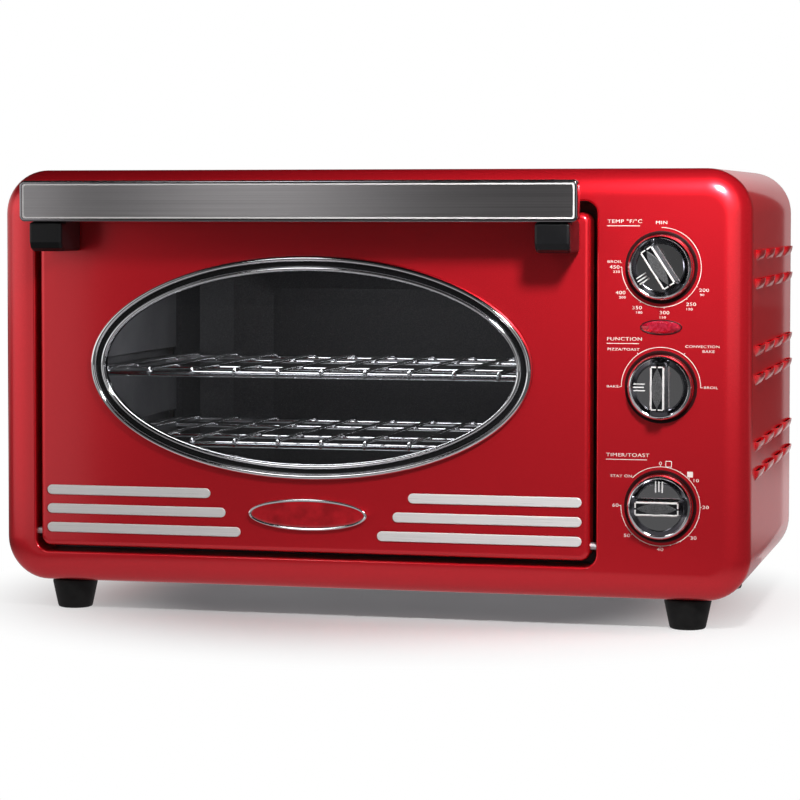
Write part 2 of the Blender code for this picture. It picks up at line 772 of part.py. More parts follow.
def make_base_plate(steel):
    """The underside pan, lying on the casing's flanges, with slots that let air in."""
    foot = FLOOR_Z + CASING_SHEET + FIT
    left = BODY_BOX[0] + BASE_SIDE_INSET
    right = BODY_BOX[1] - BASE_SIDE_INSET
    front = BASE_FRONT_DEPTH + FIT
    rear = BODY_DEPTH - FIT
    lip = BASE_LIP
    section = [
        (front, foot),
        (rear, foot),
        (rear, foot + lip),
        (rear - BASE_SHEET, foot + lip),
        (rear - BASE_SHEET, foot + BASE_SHEET),
        (front + BASE_SHEET, foot + BASE_SHEET),
        (front + BASE_SHEET, foot + lip),
        (front, foot + lip),
    ]
    rings = []
    for x in (left, right):
        rings.append([point_at(x, depth, z) for depth, z in section])
    plate = make_object("base_plate", [rings], steel)
    slots = []
    middle = (front + rear) / 2
    for row in (-1, 1):
        for column in range(BASE_SLOTS):
            x = DOOR_X + (column - (BASE_SLOTS - 1) / 2) * BASE_SLOT_PITCH
            depth = middle + row * BASE_SLOT_ROW_PITCH / 2
            box = centred_box(x, foot, BASE_SLOT_LENGTH, OVERRUN * 4)
            slots.append(block(box, depth - BASE_SLOT_WIDTH / 2, depth + BASE_SLOT_WIDTH / 2))
    cut(plate, "base_slots", slots)
    return plate


def make_back_cover(steel):
    """The rear pan with its rounded bulge, air slots and cord hole."""
    rim = BODY_DEPTH + FIT
    face = rim + CASING_SHEET
    bulge_box = grow_box(CAVITY_BOX, BULGE_CASING_MARGIN)
    slopes = (BULGE_SIDE_SLOPE, BULGE_FOOT_SLOPE, BULGE_HEAD_SLOPE)
    outer = rolled_rings(bulge_box, BULGE_RADIUS, slopes, face, face + BULGE_DEPTH, BULGE_DEPTH)
    inner = rolled_rings(
        grow_box(bulge_box, -CASING_SHEET),
        BULGE_RADIUS - CASING_SHEET,
        slopes,
        rim,
        face + BULGE_DEPTH - CASING_SHEET,
        BULGE_DEPTH - CASING_SHEET,
    )
    plate_outline = rounded_outline(BODY_BOX, CORNER_RADIUS)
    rings = list(reversed(inner))
    rings.append(ring_at(plate_outline, rim))
    rings.append(ring_at(plate_outline, face))
    rings.extend(outer)
    cover = make_object("back_cover", [rings], steel)
    holes = []
    x = (CAVITY_BOX[1] + BODY_BOX[1]) / 2
    for slot in range(REAR_SLOTS):
        z = FLOOR_Z + REAR_SLOT_RISE + slot * REAR_SLOT_PITCH
        box = centred_box(x, z, REAR_SLOT_WIDTH, REAR_SLOT_HEIGHT)
        holes.append(prism(slot_outline(box, 1), rim - OVERRUN, face + OVERRUN))
    gland_x = BODY_BOX[1] - GLAND_EDGE_DISTANCE
    gland_z = FLOOR_Z + GLAND_RISE
    profile = ((GLAND_RADIUS + FIT, rim - OVERRUN), (GLAND_RADIUS + FIT, face + OVERRUN))
    holes.append(turned_rings(profile, point_at(gland_x, 0.0, gland_z), SMALL_SIDES))
    cut(cover, "back_cover_holes", holes)
    return cover


def make_gland(plastic):
    """The bushing that lines the cord hole in the back cover."""
    face = BODY_DEPTH + FIT + CASING_SHEET + FIT
    start = face - GLAND_LENGTH + GLAND_COLLAR_DEPTH
    profile = (
        (GLAND_BORE, start),
        (GLAND_RADIUS, start),
        (GLAND_RADIUS, face),
        (GLAND_COLLAR, face),
        (GLAND_COLLAR - GLAND_COLLAR_DEPTH / 4, face + GLAND_COLLAR_DEPTH),
        (GLAND_BORE, face + GLAND_COLLAR_DEPTH),
    )
    x = BODY_BOX[1] - GLAND_EDGE_DISTANCE
    z = FLOOR_Z + GLAND_RISE
    rings = turned_rings(profile, point_at(x, 0.0, z), SMALL_SIDES)
    return make_object("cord_gland", [(rings, True)], plastic)


def make_feet(rubber):
    """Four tapered feet, each with a recess for the screw that holds it."""
    top = FOOT_HEIGHT - FIT
    profile = (
        (FOOT_SCREW_RADIUS, FOOT_SCREW_DEPTH),
        (FOOT_SCREW_RADIUS, 0.0),
        (FOOT_SOLE_RADIUS - FOOT_EDGE, 0.0),
        (FOOT_SOLE_RADIUS, FOOT_EDGE),
        (FOOT_TOP_RADIUS, top - FOOT_EDGE),
        (FOOT_TOP_RADIUS - FOOT_EDGE, top),
    )
    feet = []
    places = (("front", FOOT_FRONT_DEPTH), ("rear", BODY_DEPTH - FOOT_REAR_INSET))
    for end, depth in places:
        for side_name, side in (("left", -1), ("right", 1)):
            x = side * (BODY_WIDTH / 2 - FOOT_SIDE_INSET)
            rings = turned_rings(profile, point_at(x, depth, 0.0), FOOT_SIDES, "Z")
            feet.append(make_object(f"foot_{end}_{side_name}", [rings], rubber))
    return feet


def groove_boxes(side, front, back):
    """The room of both rack grooves outside one cavity wall, as bodies."""
    wall = CAVITY_BOX[0] if side < 0 else CAVITY_BOX[1]
    far = wall + side * (GROOVE_DEPTH + CAVITY_SHEET)
    near = wall - side * OVERRUN
    bodies = []
    for z in RACK_HEIGHTS:
        foot = z - RACK_ROD_RADIUS - FIT
        box = (min(near, far), max(near, far), foot - CAVITY_SHEET, foot + GROOVE_HEIGHT)
        bodies.append(block(box, front, back))
    return bodies


def make_face_frame(steel):
    """The flat frame round the cavity's mouth, notched where the racks pass."""
    outline = rounded_outline(grow_box(OPENING_BOX, -FIT), OPENING_RADIUS - FIT)
    back = FACE_FRAME_DEPTH + FACE_FRAME_SHEET
    frame = make_object("face_frame", [prism(outline, FACE_FRAME_DEPTH, back)], steel)
    mouth = rounded_outline(CAVITY_BOX, LEAST_RADIUS, 1)
    cuts = [prism(mouth, FACE_FRAME_DEPTH - OVERRUN, back + OVERRUN)]
    cut(frame, "face_frame_mouth", cuts)
    notches = []
    for side in (-1, 1):
        notches.extend(groove_boxes(side, FACE_FRAME_DEPTH - OVERRUN, back + OVERRUN))
    cut(frame, "face_frame_notches", notches)
    return frame


def wall_outline(side):
    """The section of a cavity side wall: one sheet pressed outward into two rack grooves."""
    wall = CAVITY_BOX[0] if side < 0 else CAVITY_BOX[1]
    inner = [(0.0, CAVITY_BOX[2])]
    outer = [(CAVITY_SHEET, CAVITY_BOX[2])]
    for z in RACK_HEIGHTS:
        foot = z - RACK_ROD_RADIUS - FIT
        head = foot + GROOVE_HEIGHT
        inner.append((0.0, foot))
        inner.append((GROOVE_DEPTH, foot))
        inner.append((GROOVE_DEPTH, head - GROOVE_DRAFT))
        inner.append((0.0, head))
        outer.append((CAVITY_SHEET, foot - CAVITY_SHEET))
        outer.append((GROOVE_DEPTH + CAVITY_SHEET, foot - CAVITY_SHEET))
        outer.append((GROOVE_DEPTH + CAVITY_SHEET, head - GROOVE_DRAFT + CAVITY_SHEET))
        outer.append((CAVITY_SHEET, head + CAVITY_SHEET))
    inner.append((0.0, CAVITY_BOX[3]))
    outer.append((CAVITY_SHEET, CAVITY_BOX[3]))
    section = inner + list(reversed(outer))
    return [(wall + side * offset, z) for offset, z in section]


def heater_places():
    """Depth and height of each heating rod, with the name of its place."""
    for level, z in zip(("upper", "lower"), HEATER_HEIGHTS):
        for end, depth in zip(("front", "rear"), HEATER_DEPTHS):
            yield f"heating_rod_{level}_{end}", depth, z


def make_side_wall(name, side, steel):
    """A cavity side wall with rack grooves and holes for the heating rods."""
    wall = make_object(name, [prism(wall_outline(side), CAVITY_FRONT, CAVITY_REAR)], steel)
    face = CAVITY_BOX[0] if side < 0 else CAVITY_BOX[1]
    holes = []
    for _, depth, z in heater_places():
        profile = ((HEATER_NECK_RADIUS + FIT, -OVERRUN * 2), (HEATER_NECK_RADIUS + FIT, OVERRUN * 2))
        holes.append(turned_rings(profile, point_at(face, depth, z), SMALL_SIDES, "X"))
    cut(wall, f"{name}_rod_holes", holes)
    return wall


def cut_fan_slots(wall):
    """Air slots set like spokes in the right cavity wall, in front of the fan."""
    slots = []
    centre = point_at(CAVITY_BOX[1], FAN_DEPTH, FAN_Z)
    for slot in range(FAN_SLOTS):
        angle = 2 * pi * slot / FAN_SLOTS
        along = Vector((0.0, cos(angle), sin(angle)))
        across = Vector((0.0, -sin(angle), cos(angle)))
        rings = []
        for x in (-OVERRUN, OVERRUN):
            offset = Vector((x, 0.0, 0.0))
            ring = []
            for distance, half in (
                (FAN_SLOT_START, FAN_SLOT_WIDTH / 4),
                (FAN_RADIUS - FAN_SLOT_INSET, FAN_SLOT_WIDTH / 2),
            ):
                for hand in (-1, 1):
                    hand = hand if distance == FAN_SLOT_START else -hand
                    ring.append(centre + offset + along * distance + across * half * hand)
            rings.append(ring)
        slots.append(rings)
    cut(wall, "fan_slots", slots)


def make_cavity(steel):
    """The cooking cavity: face frame, two grooved walls, roof, ribbed floor and bulged back."""
    frame = make_face_frame(steel)
    left = make_side_wall("cavity_left_wall", -1, steel)
    right = make_side_wall("cavity_right_wall", 1, steel)
    cut_fan_slots(right)
    roof_box = (
        CAVITY_BOX[0] - CAVITY_SHEET,
        CAVITY_BOX[1] + CAVITY_SHEET,
        CAVITY_BOX[3] + FIT,
        CAVITY_BOX[3] + FIT + CAVITY_SHEET,
    )
    roof = make_object("cavity_roof", [block(roof_box, CAVITY_FRONT, CAVITY_REAR)], steel)
    head = CAVITY_BOX[2] - FIT
    floor_box = (roof_box[0], roof_box[1], head - CAVITY_SHEET, head)
    floor = make_object("cavity_floor", [block(floor_box, CAVITY_FRONT, CAVITY_REAR)], steel)
    ribs = []
    for side in (-1, 1):
        x = DOOR_X + side * (CAVITY_HALF - FLOOR_RIB_INSET)
        section = [
            (x - FLOOR_RIB_WIDTH / 2, head - CAVITY_SHEET / 2),
            (x + FLOOR_RIB_WIDTH / 2, head - CAVITY_SHEET / 2),
            (x + FLOOR_RIB_WIDTH / 4, head + FLOOR_RIB_HEIGHT),
            (x - FLOOR_RIB_WIDTH / 4, head + FLOOR_RIB_HEIGHT),
        ]
        ribs.append(prism(section, CAVITY_FRONT + FLOOR_RIB_INSET, CAVITY_REAR - FLOOR_RIB_INSET))
    join(floor, "floor_ribs", ribs)
    return frame, left, right, roof, floor, make_cavity_back(steel)


def make_cavity_back(steel):
    """The back of the cavity, pressed out so that a round pan fits."""
    rim = CAVITY_REAR + FIT
    face = rim + CAVITY_SHEET
    edge_box = grow_box(CAVITY_BOX, CAVITY_SHEET + FIT)
    mouth = grow_box(CAVITY_BOX, -CAVITY_BULGE_LIP)
    slopes = (BULGE_SIDE_SLOPE, BULGE_FOOT_SLOPE, BULGE_HEAD_SLOPE)
    radius = CAVITY_BULGE_RADIUS
    inner = rolled_rings(mouth, radius, slopes, rim, rim + CAVITY_BULGE_DEPTH, CAVITY_BULGE_DEPTH)
    outer = rolled_rings(
        grow_box(mouth, CAVITY_SHEET),
        radius + CAVITY_SHEET,
        slopes,
        face,
        face + CAVITY_BULGE_DEPTH,
        CAVITY_BULGE_DEPTH,
    )
    edge = rounded_outline(edge_box, LEAST_RADIUS * 2)
    rings = list(reversed(inner))
    rings.append(ring_at(edge, rim))
    rings.append(ring_at(edge, face))
    rings.extend(outer)
    return make_object("cavity_back", [rings], steel)


def make_heating_rods(steel):
    """Four straight sheathed rods, each held by ceramic ends in the cavity walls."""
    rods = []
    left, right = CAVITY_BOX[0], CAVITY_BOX[1]
    outside = CAVITY_HALF + CAVITY_SHEET + FIT
    collar = outside + HEATER_COLLAR
    neck = CAVITY_HALF - HEATER_NECK_INSIDE
    arm = (
        (HEATER_TERMINAL_RADIUS, collar + HEATER_TERMINAL),
        (HEATER_TERMINAL_RADIUS, collar),
        (HEATER_COLLAR_RADIUS, collar),
        (HEATER_COLLAR_RADIUS, outside),
        (HEATER_NECK_RADIUS, outside),
        (HEATER_NECK_RADIUS, neck),
        (HEATER_RADIUS, neck),
    )
    profile = [(radius, -distance) for radius, distance in arm]
    profile.extend(reversed(arm))
    for name, depth, z in heater_places():
        centre = point_at((left + right) / 2, depth, z)
        rings = turned_rings(profile, centre, SMALL_SIDES, "X")
        rods.append(make_object(name, [rings], steel))
    return rods


def make_crumb_tray(steel):
    """A shallow pan that lies on the floor ribs under the lower rods."""
    foot = CAVITY_BOX[2] + FLOOR_RIB_HEIGHT
    box = (
        CAVITY_BOX[0] + TRAY_SIDE_GAP,
        CAVITY_BOX[1] - TRAY_SIDE_GAP,
        TRAY_FRONT_DEPTH,
        CAVITY_REAR - TRAY_REAR_GAP,
    )

    def level_ring(inset, z):
        outline = rounded_outline(grow_box(box, -inset), TRAY_RADIUS)
        return [point_at(x, depth, z) for x, depth in outline]

    rings = [
        level_ring(TRAY_SLOPE + TRAY_SHEET, foot + TRAY_SHEET),
        level_ring(TRAY_SHEET, foot + TRAY_HEIGHT),
        level_ring(0.0, foot + TRAY_HEIGHT),
        level_ring(TRAY_SLOPE, foot),
    ]
    return make_object("crumb_tray", [rings], steel)


def make_rack(name, z, chrome):
    """A wire rack: an outer loop, lengthways wires across it and cross wires below."""
    front, back = RACK_FRONT_DEPTH, RACK_REAR_DEPTH
    box = (DOOR_X - RACK_HALF, DOOR_X + RACK_HALF, front, back)
    path = [point_at(x, depth, z) for x, depth in rounded_outline(box, RACK_CORNER, COARSE_STEPS)]
    rack = make_object(name, [(tube_rings(path, RACK_ROD_RADIUS, ROD_SIDES, loop=True), True)], chrome)
    wire_z = z + RACK_ROD_RADIUS + RACK_WIRE_RADIUS - RACK_BITE
    wires = []
    for wire in range(RACK_WIRES):
        x = DOOR_X + (wire - (RACK_WIRES - 1) / 2) * RACK_WIRE_PITCH
        ends = [point_at(x, front - RACK_WIRE_RADIUS, wire_z), point_at(x, back + RACK_WIRE_RADIUS, wire_z)]
        wires.append(tube_rings(ends, RACK_WIRE_RADIUS, WIRE_SIDES))
    join(rack, f"{name}_wires", wires)
    cross_z = wire_z - RACK_WIRE_RADIUS * 2 + RACK_BITE
    cross = []
    middle = (front + back) / 2
    for row in (-1, 1):
        depth = middle + row * RACK_CROSS_PITCH / 2
        ends = [point_at(DOOR_X - RACK_HALF, depth, cross_z), point_at(DOOR_X + RACK_HALF, depth, cross_z)]
        cross.append(tube_rings(ends, RACK_WIRE_RADIUS, WIRE_SIDES))
    join(rack, f"{name}_cross_wires", cross)
    return rack


def make_door_panel(paint):
    """The painted door skin: rolled edge, oval window hole, stripe grooves and pin holes."""
    rolls = (DOOR_ROLL, DOOR_ROLL, DOOR_ROLL)
    rim = DOOR_SKIN_DEPTH - DOOR_PROUD
    rings = pan_rings(DOOR_BOX, DOOR_RADIUS, rolls, rim, -DOOR_PROUD, DOOR_ROLL, DOOR_SKIN)
    panel = make_object("door_panel", [rings], paint)
    hole = oval_outline(
        DOOR_X,
        WINDOW_Z,
        WINDOW_WIDTH / 2 + RING_NECK + FIT,
        WINDOW_HEIGHT / 2 + RING_NECK + FIT,
        OVAL_SIDES,
    )
    cut(panel, "door_window_hole", [prism(hole, -DOOR_PROUD - OVERRUN, -DOOR_PROUD + DOOR_SKIN + OVERRUN)])
    grooves = []
    for _, box in stripe_boxes():
        outline = slot_outline(grow_box(box, STRIPE_GROOVE_MARGIN), STRIPE_END_STEPS)
        grooves.append(prism(outline, -DOOR_PROUD - OVERRUN, -DOOR_PROUD + STRIPE_GROOVE))
    cut(panel, "door_stripe_grooves", grooves)
    pin_holes = []
    for x in (DOOR_BOX[0] - OVERRUN, DOOR_BOX[1] - DOOR_SKIN - OVERRUN):
        profile = (
            (HINGE_PIN_RADIUS + FIT, 0.0),
            (HINGE_PIN_RADIUS + FIT, DOOR_SKIN + OVERRUN * 2),
        )
        pin_holes.append(
            turned_rings(profile, point_at(x, HINGE_DEPTH, HINGE_Z), SMALL_SIDES, "X")
        )
    cut(panel, "door_pin_holes", pin_holes)
    return panel


def make_door_liner(steel):
    """The inner door pan, whose window flange holds the glass from behind."""
    rim = DOOR_SKIN_DEPTH - DOOR_PROUD + FIT
    face = DOOR_THICKNESS - DOOR_PROUD
    rolls = (DOOR_LINER_ROLL, DOOR_LINER_ROLL, DOOR_LINER_ROLL)
    box = grow_box(DOOR_BOX, -DOOR_LINER_INSET)
    rings = pan_rings(box, DOOR_RADIUS, rolls, rim, face, DOOR_LINER_ROLL, DOOR_LINER_SHEET, COARSE_STEPS)
    liner = make_object("door_liner", [rings], steel)
    window = centred_box(DOOR_X, WINDOW_Z, LINER_WINDOW_WIDTH, LINER_WINDOW_HEIGHT)
    flange = grow_box(window, DOOR_LINER_SHEET)
    flange_front = -DOOR_PROUD + DOOR_SKIN + FIT + GLASS_THICKNESS + FIT
    flange_outline = rounded_outline(flange, LINER_WINDOW_RADIUS + DOOR_LINER_SHEET)
    join(liner, "liner_flange", [prism(flange_outline, flange_front, face - DOOR_LINER_SHEET / 2)])
    hole = rounded_outline(window, LINER_WINDOW_RADIUS)
    cut(liner, "liner_window", [prism(hole, flange_front - OVERRUN, face + OVERRUN)])
    return liner


def make_door_glass(glass):
    """The window pane, clamped between the skin and the liner's flange."""
    front = -DOOR_PROUD + DOOR_SKIN + FIT
    width = LINER_WINDOW_WIDTH + GLASS_LAP * 2
    height = LINER_WINDOW_HEIGHT + GLASS_LAP * 2
    box = centred_box(DOOR_X, WINDOW_Z, width, height)
    outline = rounded_outline(box, LINER_WINDOW_RADIUS + GLASS_LAP)
    return make_object("door_glass", [prism(outline, front, front + GLASS_THICKNESS)], glass)


def make_window_ring(chrome, black):
    """The oval surround: a black seat ring and the two bright beads that stand on it."""
    back = -DOOR_PROUD - FIT
    front = back - RING_BASE
    neck_back = -DOOR_PROUD + DOOR_SKIN
    seat_section = (
        (0.0, neck_back),
        (0.0, front),
        (RING_WIDTH, front),
        (RING_WIDTH, back),
        (RING_NECK, back),
        (RING_NECK, neck_back),
    )
    seat = make_object("window_seat_ring", [oval_ring_body(seat_section)], black)
    bead_seat = front - FIT
    inner = bead_section(0.0, INNER_BEAD_WIDTH, bead_seat, INNER_BEAD_HEIGHT, 4)
    outer_start = RING_WIDTH - OUTER_BEAD_WIDTH
    outer = bead_section(outer_start, OUTER_BEAD_WIDTH, bead_seat, OUTER_BEAD_HEIGHT, 5)
    inner_bead = make_object("window_inner_bead", [oval_ring_body(inner)], chrome, 75.0)
    outer_bead = make_object("window_outer_bead", [oval_ring_body(outer)], chrome, 75.0)
    return seat, inner_bead, outer_bead


def stripe_boxes():
    """Name and box of each stripe, the shortest pair at the top."""
    for row in range(STRIPE_ROWS):
        above = STRIPE_ROWS - 1 - row
        z = DOOR_BOX[2] + STRIPE_RISE + above * STRIPE_PITCH
        reach = STRIPE_REACH + above * STRIPE_STEP
        foot, head = z - STRIPE_HEIGHT / 2, z + STRIPE_HEIGHT / 2
        yield f"stripe_left_{row + 1}", (DOOR_BOX[0] + STRIPE_MARGIN, DOOR_X - reach, foot, head)
        yield f"stripe_right_{row + 1}", (DOOR_X + reach, DOOR_BOX[1] - STRIPE_MARGIN, foot, head)


def make_stripes(chrome):
    """Six bright bars set in the door's grooves."""
    stripes = []
    back = -DOOR_PROUD + STRIPE_GROOVE - FIT
    front = -DOOR_PROUD - STRIPE_PROUD
    for name, box in stripe_boxes():
        rings = [
            ring_at(slot_outline(box, STRIPE_END_STEPS), back),
            ring_at(slot_outline(box, STRIPE_END_STEPS), front + STRIPE_CROWN),
            ring_at(slot_outline(grow_box(box, -STRIPE_CROWN), STRIPE_END_STEPS), front),
        ]
        stripes.append(make_object(name, [rings], chrome))
    return stripes


def make_badge(chrome):
    """A plain oval plate low in the middle of the door."""
    back = -DOOR_PROUD - FIT
    z = DOOR_BOX[2] + BADGE_RISE
    half_width, half_height = BADGE_WIDTH / 2, BADGE_HEIGHT / 2
    rings = []
    for inset, depth in (
        (0.0, back),
        (0.0, back - BADGE_THICKNESS + BADGE_EDGE),
        (BADGE_EDGE, back - BADGE_THICKNESS),
    ):
        outline = oval_outline(DOOR_X, z, half_width - inset, half_height - inset, FOOT_SIDES * 2)
        rings.append(ring_at(outline, depth))
    return make_object("badge_plate", [rings], chrome)


def handle_box():
    """The handle's outline as seen from the front."""
    foot = DOOR_BOX[3] - HANDLE_FOOT_DROP
    left = DOOR_BOX[0] + HANDLE_SIDE_INSET
    return (left, DOOR_BOX[1] - HANDLE_SIDE_INSET, foot, foot + HANDLE_HEIGHT)


def make_handle(chrome, steel):
    """The bar: a bright frame with a brushed plate let into its front."""
    front = -HANDLE_STANDOFF
    back = front + HANDLE_DEPTH
    box = handle_box()
    rings = []
    for inset, depth in (
        (HANDLE_ROLL, back),
        (0.0, back - HANDLE_ROLL),
        (0.0, front + HANDLE_ROLL),
        (HANDLE_ROLL, front),
    ):
        outline = rounded_outline(grow_box(box, -inset), HANDLE_RADIUS - inset)
        rings.append(ring_at(outline, depth))
    frame = make_object("handle_frame", [rings], chrome)
    pocket = grow_box(box, -HANDLE_RIM)
    pocket_outline = rounded_outline(pocket, HANDLE_RADIUS - HANDLE_RIM)
    cut(frame, "handle_pocket", [prism(pocket_outline, front - OVERRUN, front + HANDLE_PLATE_DEPTH)])
    plate_outline = rounded_outline(grow_box(pocket, -FIT), HANDLE_RADIUS - HANDLE_RIM - FIT)
    plate_back = front + HANDLE_PLATE_DEPTH - FIT
    plate = make_object("handle_plate", [prism(plate_outline, front + FIT, plate_back)], steel)
    return frame, plate


def bracket_section():
    """The bracket's side view as (depth, z) points: foot on the door, chin below the bar."""
    _, _, foot, head = handle_box()
    door_face = -DOOR_PROUD - FIT
    bar_back = -HANDLE_STANDOFF + HANDLE_DEPTH + FIT
    chin_front = -HANDLE_STANDOFF + BRACKET_FRONT_SETBACK
    low = foot - BRACKET_DROP
    under_bar = foot - FIT
    top = head - BRACKET_TOP_INSET
    door_top = low + BRACKET_FOOT_RISE
    return [
        (door_face, low),
        (chin_front + BRACKET_CHIN, low),
        (chin_front + BRACKET_CHIN / 3, low + BRACKET_CHIN / 3),
        (chin_front, low + BRACKET_CHIN),
        (chin_front, under_bar),
        (bar_back, under_bar),
        (bar_back, top),
        (bar_back + BRACKET_CHIN, top),
        (door_face - BRACKET_CHIN, door_top + BRACKET_CHIN / 3),
        (door_face, door_top),
    ]


def make_brackets(plastic):
    """Two moulded brackets that carry the bar off the door."""
    brackets = []
    left, right = handle_box()[:2]
    starts = (
        ("handle_bracket_left", left + BRACKET_INSET),
        ("handle_bracket_right", right - BRACKET_INSET - BRACKET_WIDTH),
    )
    section = bracket_section()
    for name, start in starts:
        rings = []
        for x in (start, start + BRACKET_WIDTH):
            rings.append([point_at(x, depth, z) for depth, z in section])
        bracket = make_object(name, [rings], plastic)
        edge = bracket.modifiers.new("edge", "BEVEL")
        edge.width = BRACKET_EDGE
        edge.segments = EDGE_SEGMENTS
        edge.limit_method = "ANGLE"
        edge.angle_limit = radians(EDGE_ANGLE)
        brackets.append(bracket)
    return brackets


def make_hinges(steel):
    """Two headed pins in the door's side walls, and the plates that take them outside the sleeve."""
    pieces = []
    sides = (
        ("left", -1, DOOR_BOX[0], OPENING_BOX[0]),
        ("right", 1, DOOR_BOX[1], OPENING_BOX[1]),
    )
    for name, side, door_edge, opening_edge in sides:
        head_start = door_edge - side * (DOOR_SKIN + FIT + HINGE_PIN_HEAD)
        plate_near = opening_edge + side * (SLEEVE_WALL + FIT)
        plate_far = plate_near + side * HINGE_PLATE
        tip = plate_far + side * HINGE_PIN_HEAD
        head_end = head_start + side * HINGE_PIN_HEAD
        profile = (
            (HINGE_PIN_HEAD_RADIUS, head_start),
            (HINGE_PIN_HEAD_RADIUS, head_end),
            (HINGE_PIN_RADIUS, head_end),
            (HINGE_PIN_RADIUS, tip),
        )
        rings = turned_rings(profile, point_at(0.0, HINGE_DEPTH, HINGE_Z), SMALL_SIDES, "X")
        pieces.append(make_object(f"hinge_pin_{name}", [rings], steel))
        plate_front = BEZEL_WALL + FIT
        low = HINGE_Z - HINGE_PLATE_HEIGHT / 2
        box = (plate_front, plate_front + HINGE_PLATE_DEPTH, low, low + HINGE_PLATE_HEIGHT)
        outline = rounded_outline(box, HINGE_PLATE_RADIUS, COARSE_STEPS)
        plate_rings = []
        for x in (plate_near, plate_far):
            plate_rings.append([point_at(x, depth, z) for depth, z in outline])
        plate = make_object(f"hinge_plate_{name}", [plate_rings], steel)
        bore = HINGE_PIN_RADIUS + FIT
        start = min(plate_near, plate_far) - OVERRUN
        bore_profile = ((bore, start), (bore, start + HINGE_PLATE + OVERRUN * 2))
        bore_rings = turned_rings(bore_profile, point_at(0.0, HINGE_DEPTH, HINGE_Z), SMALL_SIDES, "X")
        cut(plate, f"hinge_plate_{name}_bore", [bore_rings])
        pieces.append(plate)
    return pieces


def grip_rings(turn, z):
    """The grip across a knob's face, tapered toward its crown and turned with the pointer."""
    angle = radians(turn)
    pointer_way = Vector((sin(angle), 0.0, cos(angle)))
    grip_way = Vector((cos(angle), 0.0, -sin(angle)))
    levels = (
        (KNOB_FACE_HEIGHT - WELD, GRIP_LENGTH, GRIP_WIDTH),
        (GRIP_HEIGHT - GRIP_CROWN, GRIP_TOP_LENGTH, GRIP_TOP_WIDTH),
        (GRIP_HEIGHT, GRIP_TOP_LENGTH - GRIP_CROWN * 2, GRIP_TOP_WIDTH - GRIP_CROWN * 2),
    )
    rings = []
    for height, length, width in levels:
        box = centred_box(0.0, 0.0, width, length)
        ring = []
        for across, along in rounded_outline(box, width * GRIP_END_SHARE, GRIP_END_STEPS):
            centre = point_at(DIAL_X, KNOB_BACK - height, z)
            ring.append(centre + pointer_way * across + grip_way * along)
        rings.append(ring)
    return rings


def make_knob(name, turn, z, plastic):
    """A round knob with a raised rim, a dished face and a grip across the middle."""
    back = KNOB_BACK
    rim = KNOB_RADIUS - KNOB_RIM_WIDTH
    bore = SHAFT_RADIUS + FIT
    profile = (
        (bore, back - SHAFT_IN_KNOB - FIT),
        (bore, back),
        (KNOB_RADIUS - KNOB_SKIRT_TAPER, back),
        (KNOB_RADIUS, back - KNOB_SIDE),
        (KNOB_RADIUS - KNOB_RIM_SHOULDER, back - KNOB_RIM_HEIGHT + KNOB_SKIRT_TAPER),
        (KNOB_RADIUS - KNOB_RIM_WIDTH / 2, back - KNOB_RIM_HEIGHT),
        (rim + KNOB_SKIRT_TAPER, back - KNOB_RIM_HEIGHT + KNOB_SKIRT_TAPER),
        (rim, back - KNOB_FACE_HEIGHT),
    )
    centre = point_at(DIAL_X, 0.0, z)
    hub = (
        (bore * KNOB_HUB_SHARE, back - KNOB_FACE_HEIGHT),
        (bore * KNOB_HUB_SHARE, back - SHAFT_IN_KNOB - FIT - KNOB_SKIRT_TAPER * 2),
    )
    knob = make_object(name, [turned_rings(profile + hub, centre, DIAL_SIDES)], plastic)
    join(knob, f"{name}_grip", [grip_rings(turn, z)])
    bore_profile = ((bore, back - SHAFT_IN_KNOB - FIT), (bore, back + OVERRUN))
    cut(knob, f"{name}_bore", [turned_rings(bore_profile, centre, DIAL_SIDES)])
    set_origin_with_tools(knob, centre)
    return knob


def set_origin_with_tools(item, point):
    """Put an object's origin on its joint, carrying the tools of its Booleans with it."""
    set_origin(item, point)
    for step in item.modifiers:
        if step.type == "BOOLEAN":
            set_origin(step.object, point)
            step.object.parent = item
            step.object.location = (0.0, 0.0, 0.0)


def make_shaft(name, z, steel):
    """A control shaft with a flat, from inside the knob to inside the control."""
    centre = point_at(DIAL_X, 0.0, z)
    front = KNOB_BACK - SHAFT_IN_KNOB
    back = CONTROL_PLATE_DEPTH + CONTROL_PLATE_SHEET + FIT + SHAFT_TAIL
    outline = []
    for side in range(SMALL_SIDES):
        angle = 2 * pi * side / SMALL_SIDES
        up = min(SHAFT_RADIUS * sin(angle), SHAFT_RADIUS - SHAFT_FLAT)
        outline.append((DIAL_X + SHAFT_RADIUS * cos(angle), z + up))
    shaft = make_object(name, [prism(outline, front, back)], steel)
    set_origin(shaft, centre)
    return shaft


def control_collar(front, z):
    """The threaded collar of a control, which passes through the plate."""
    profile = ((COLLAR_RADIUS, front), (COLLAR_RADIUS, front + COLLAR_LENGTH + WELD))
    return turned_rings(profile, point_at(DIAL_X, 0.0, z), SMALL_SIDES)


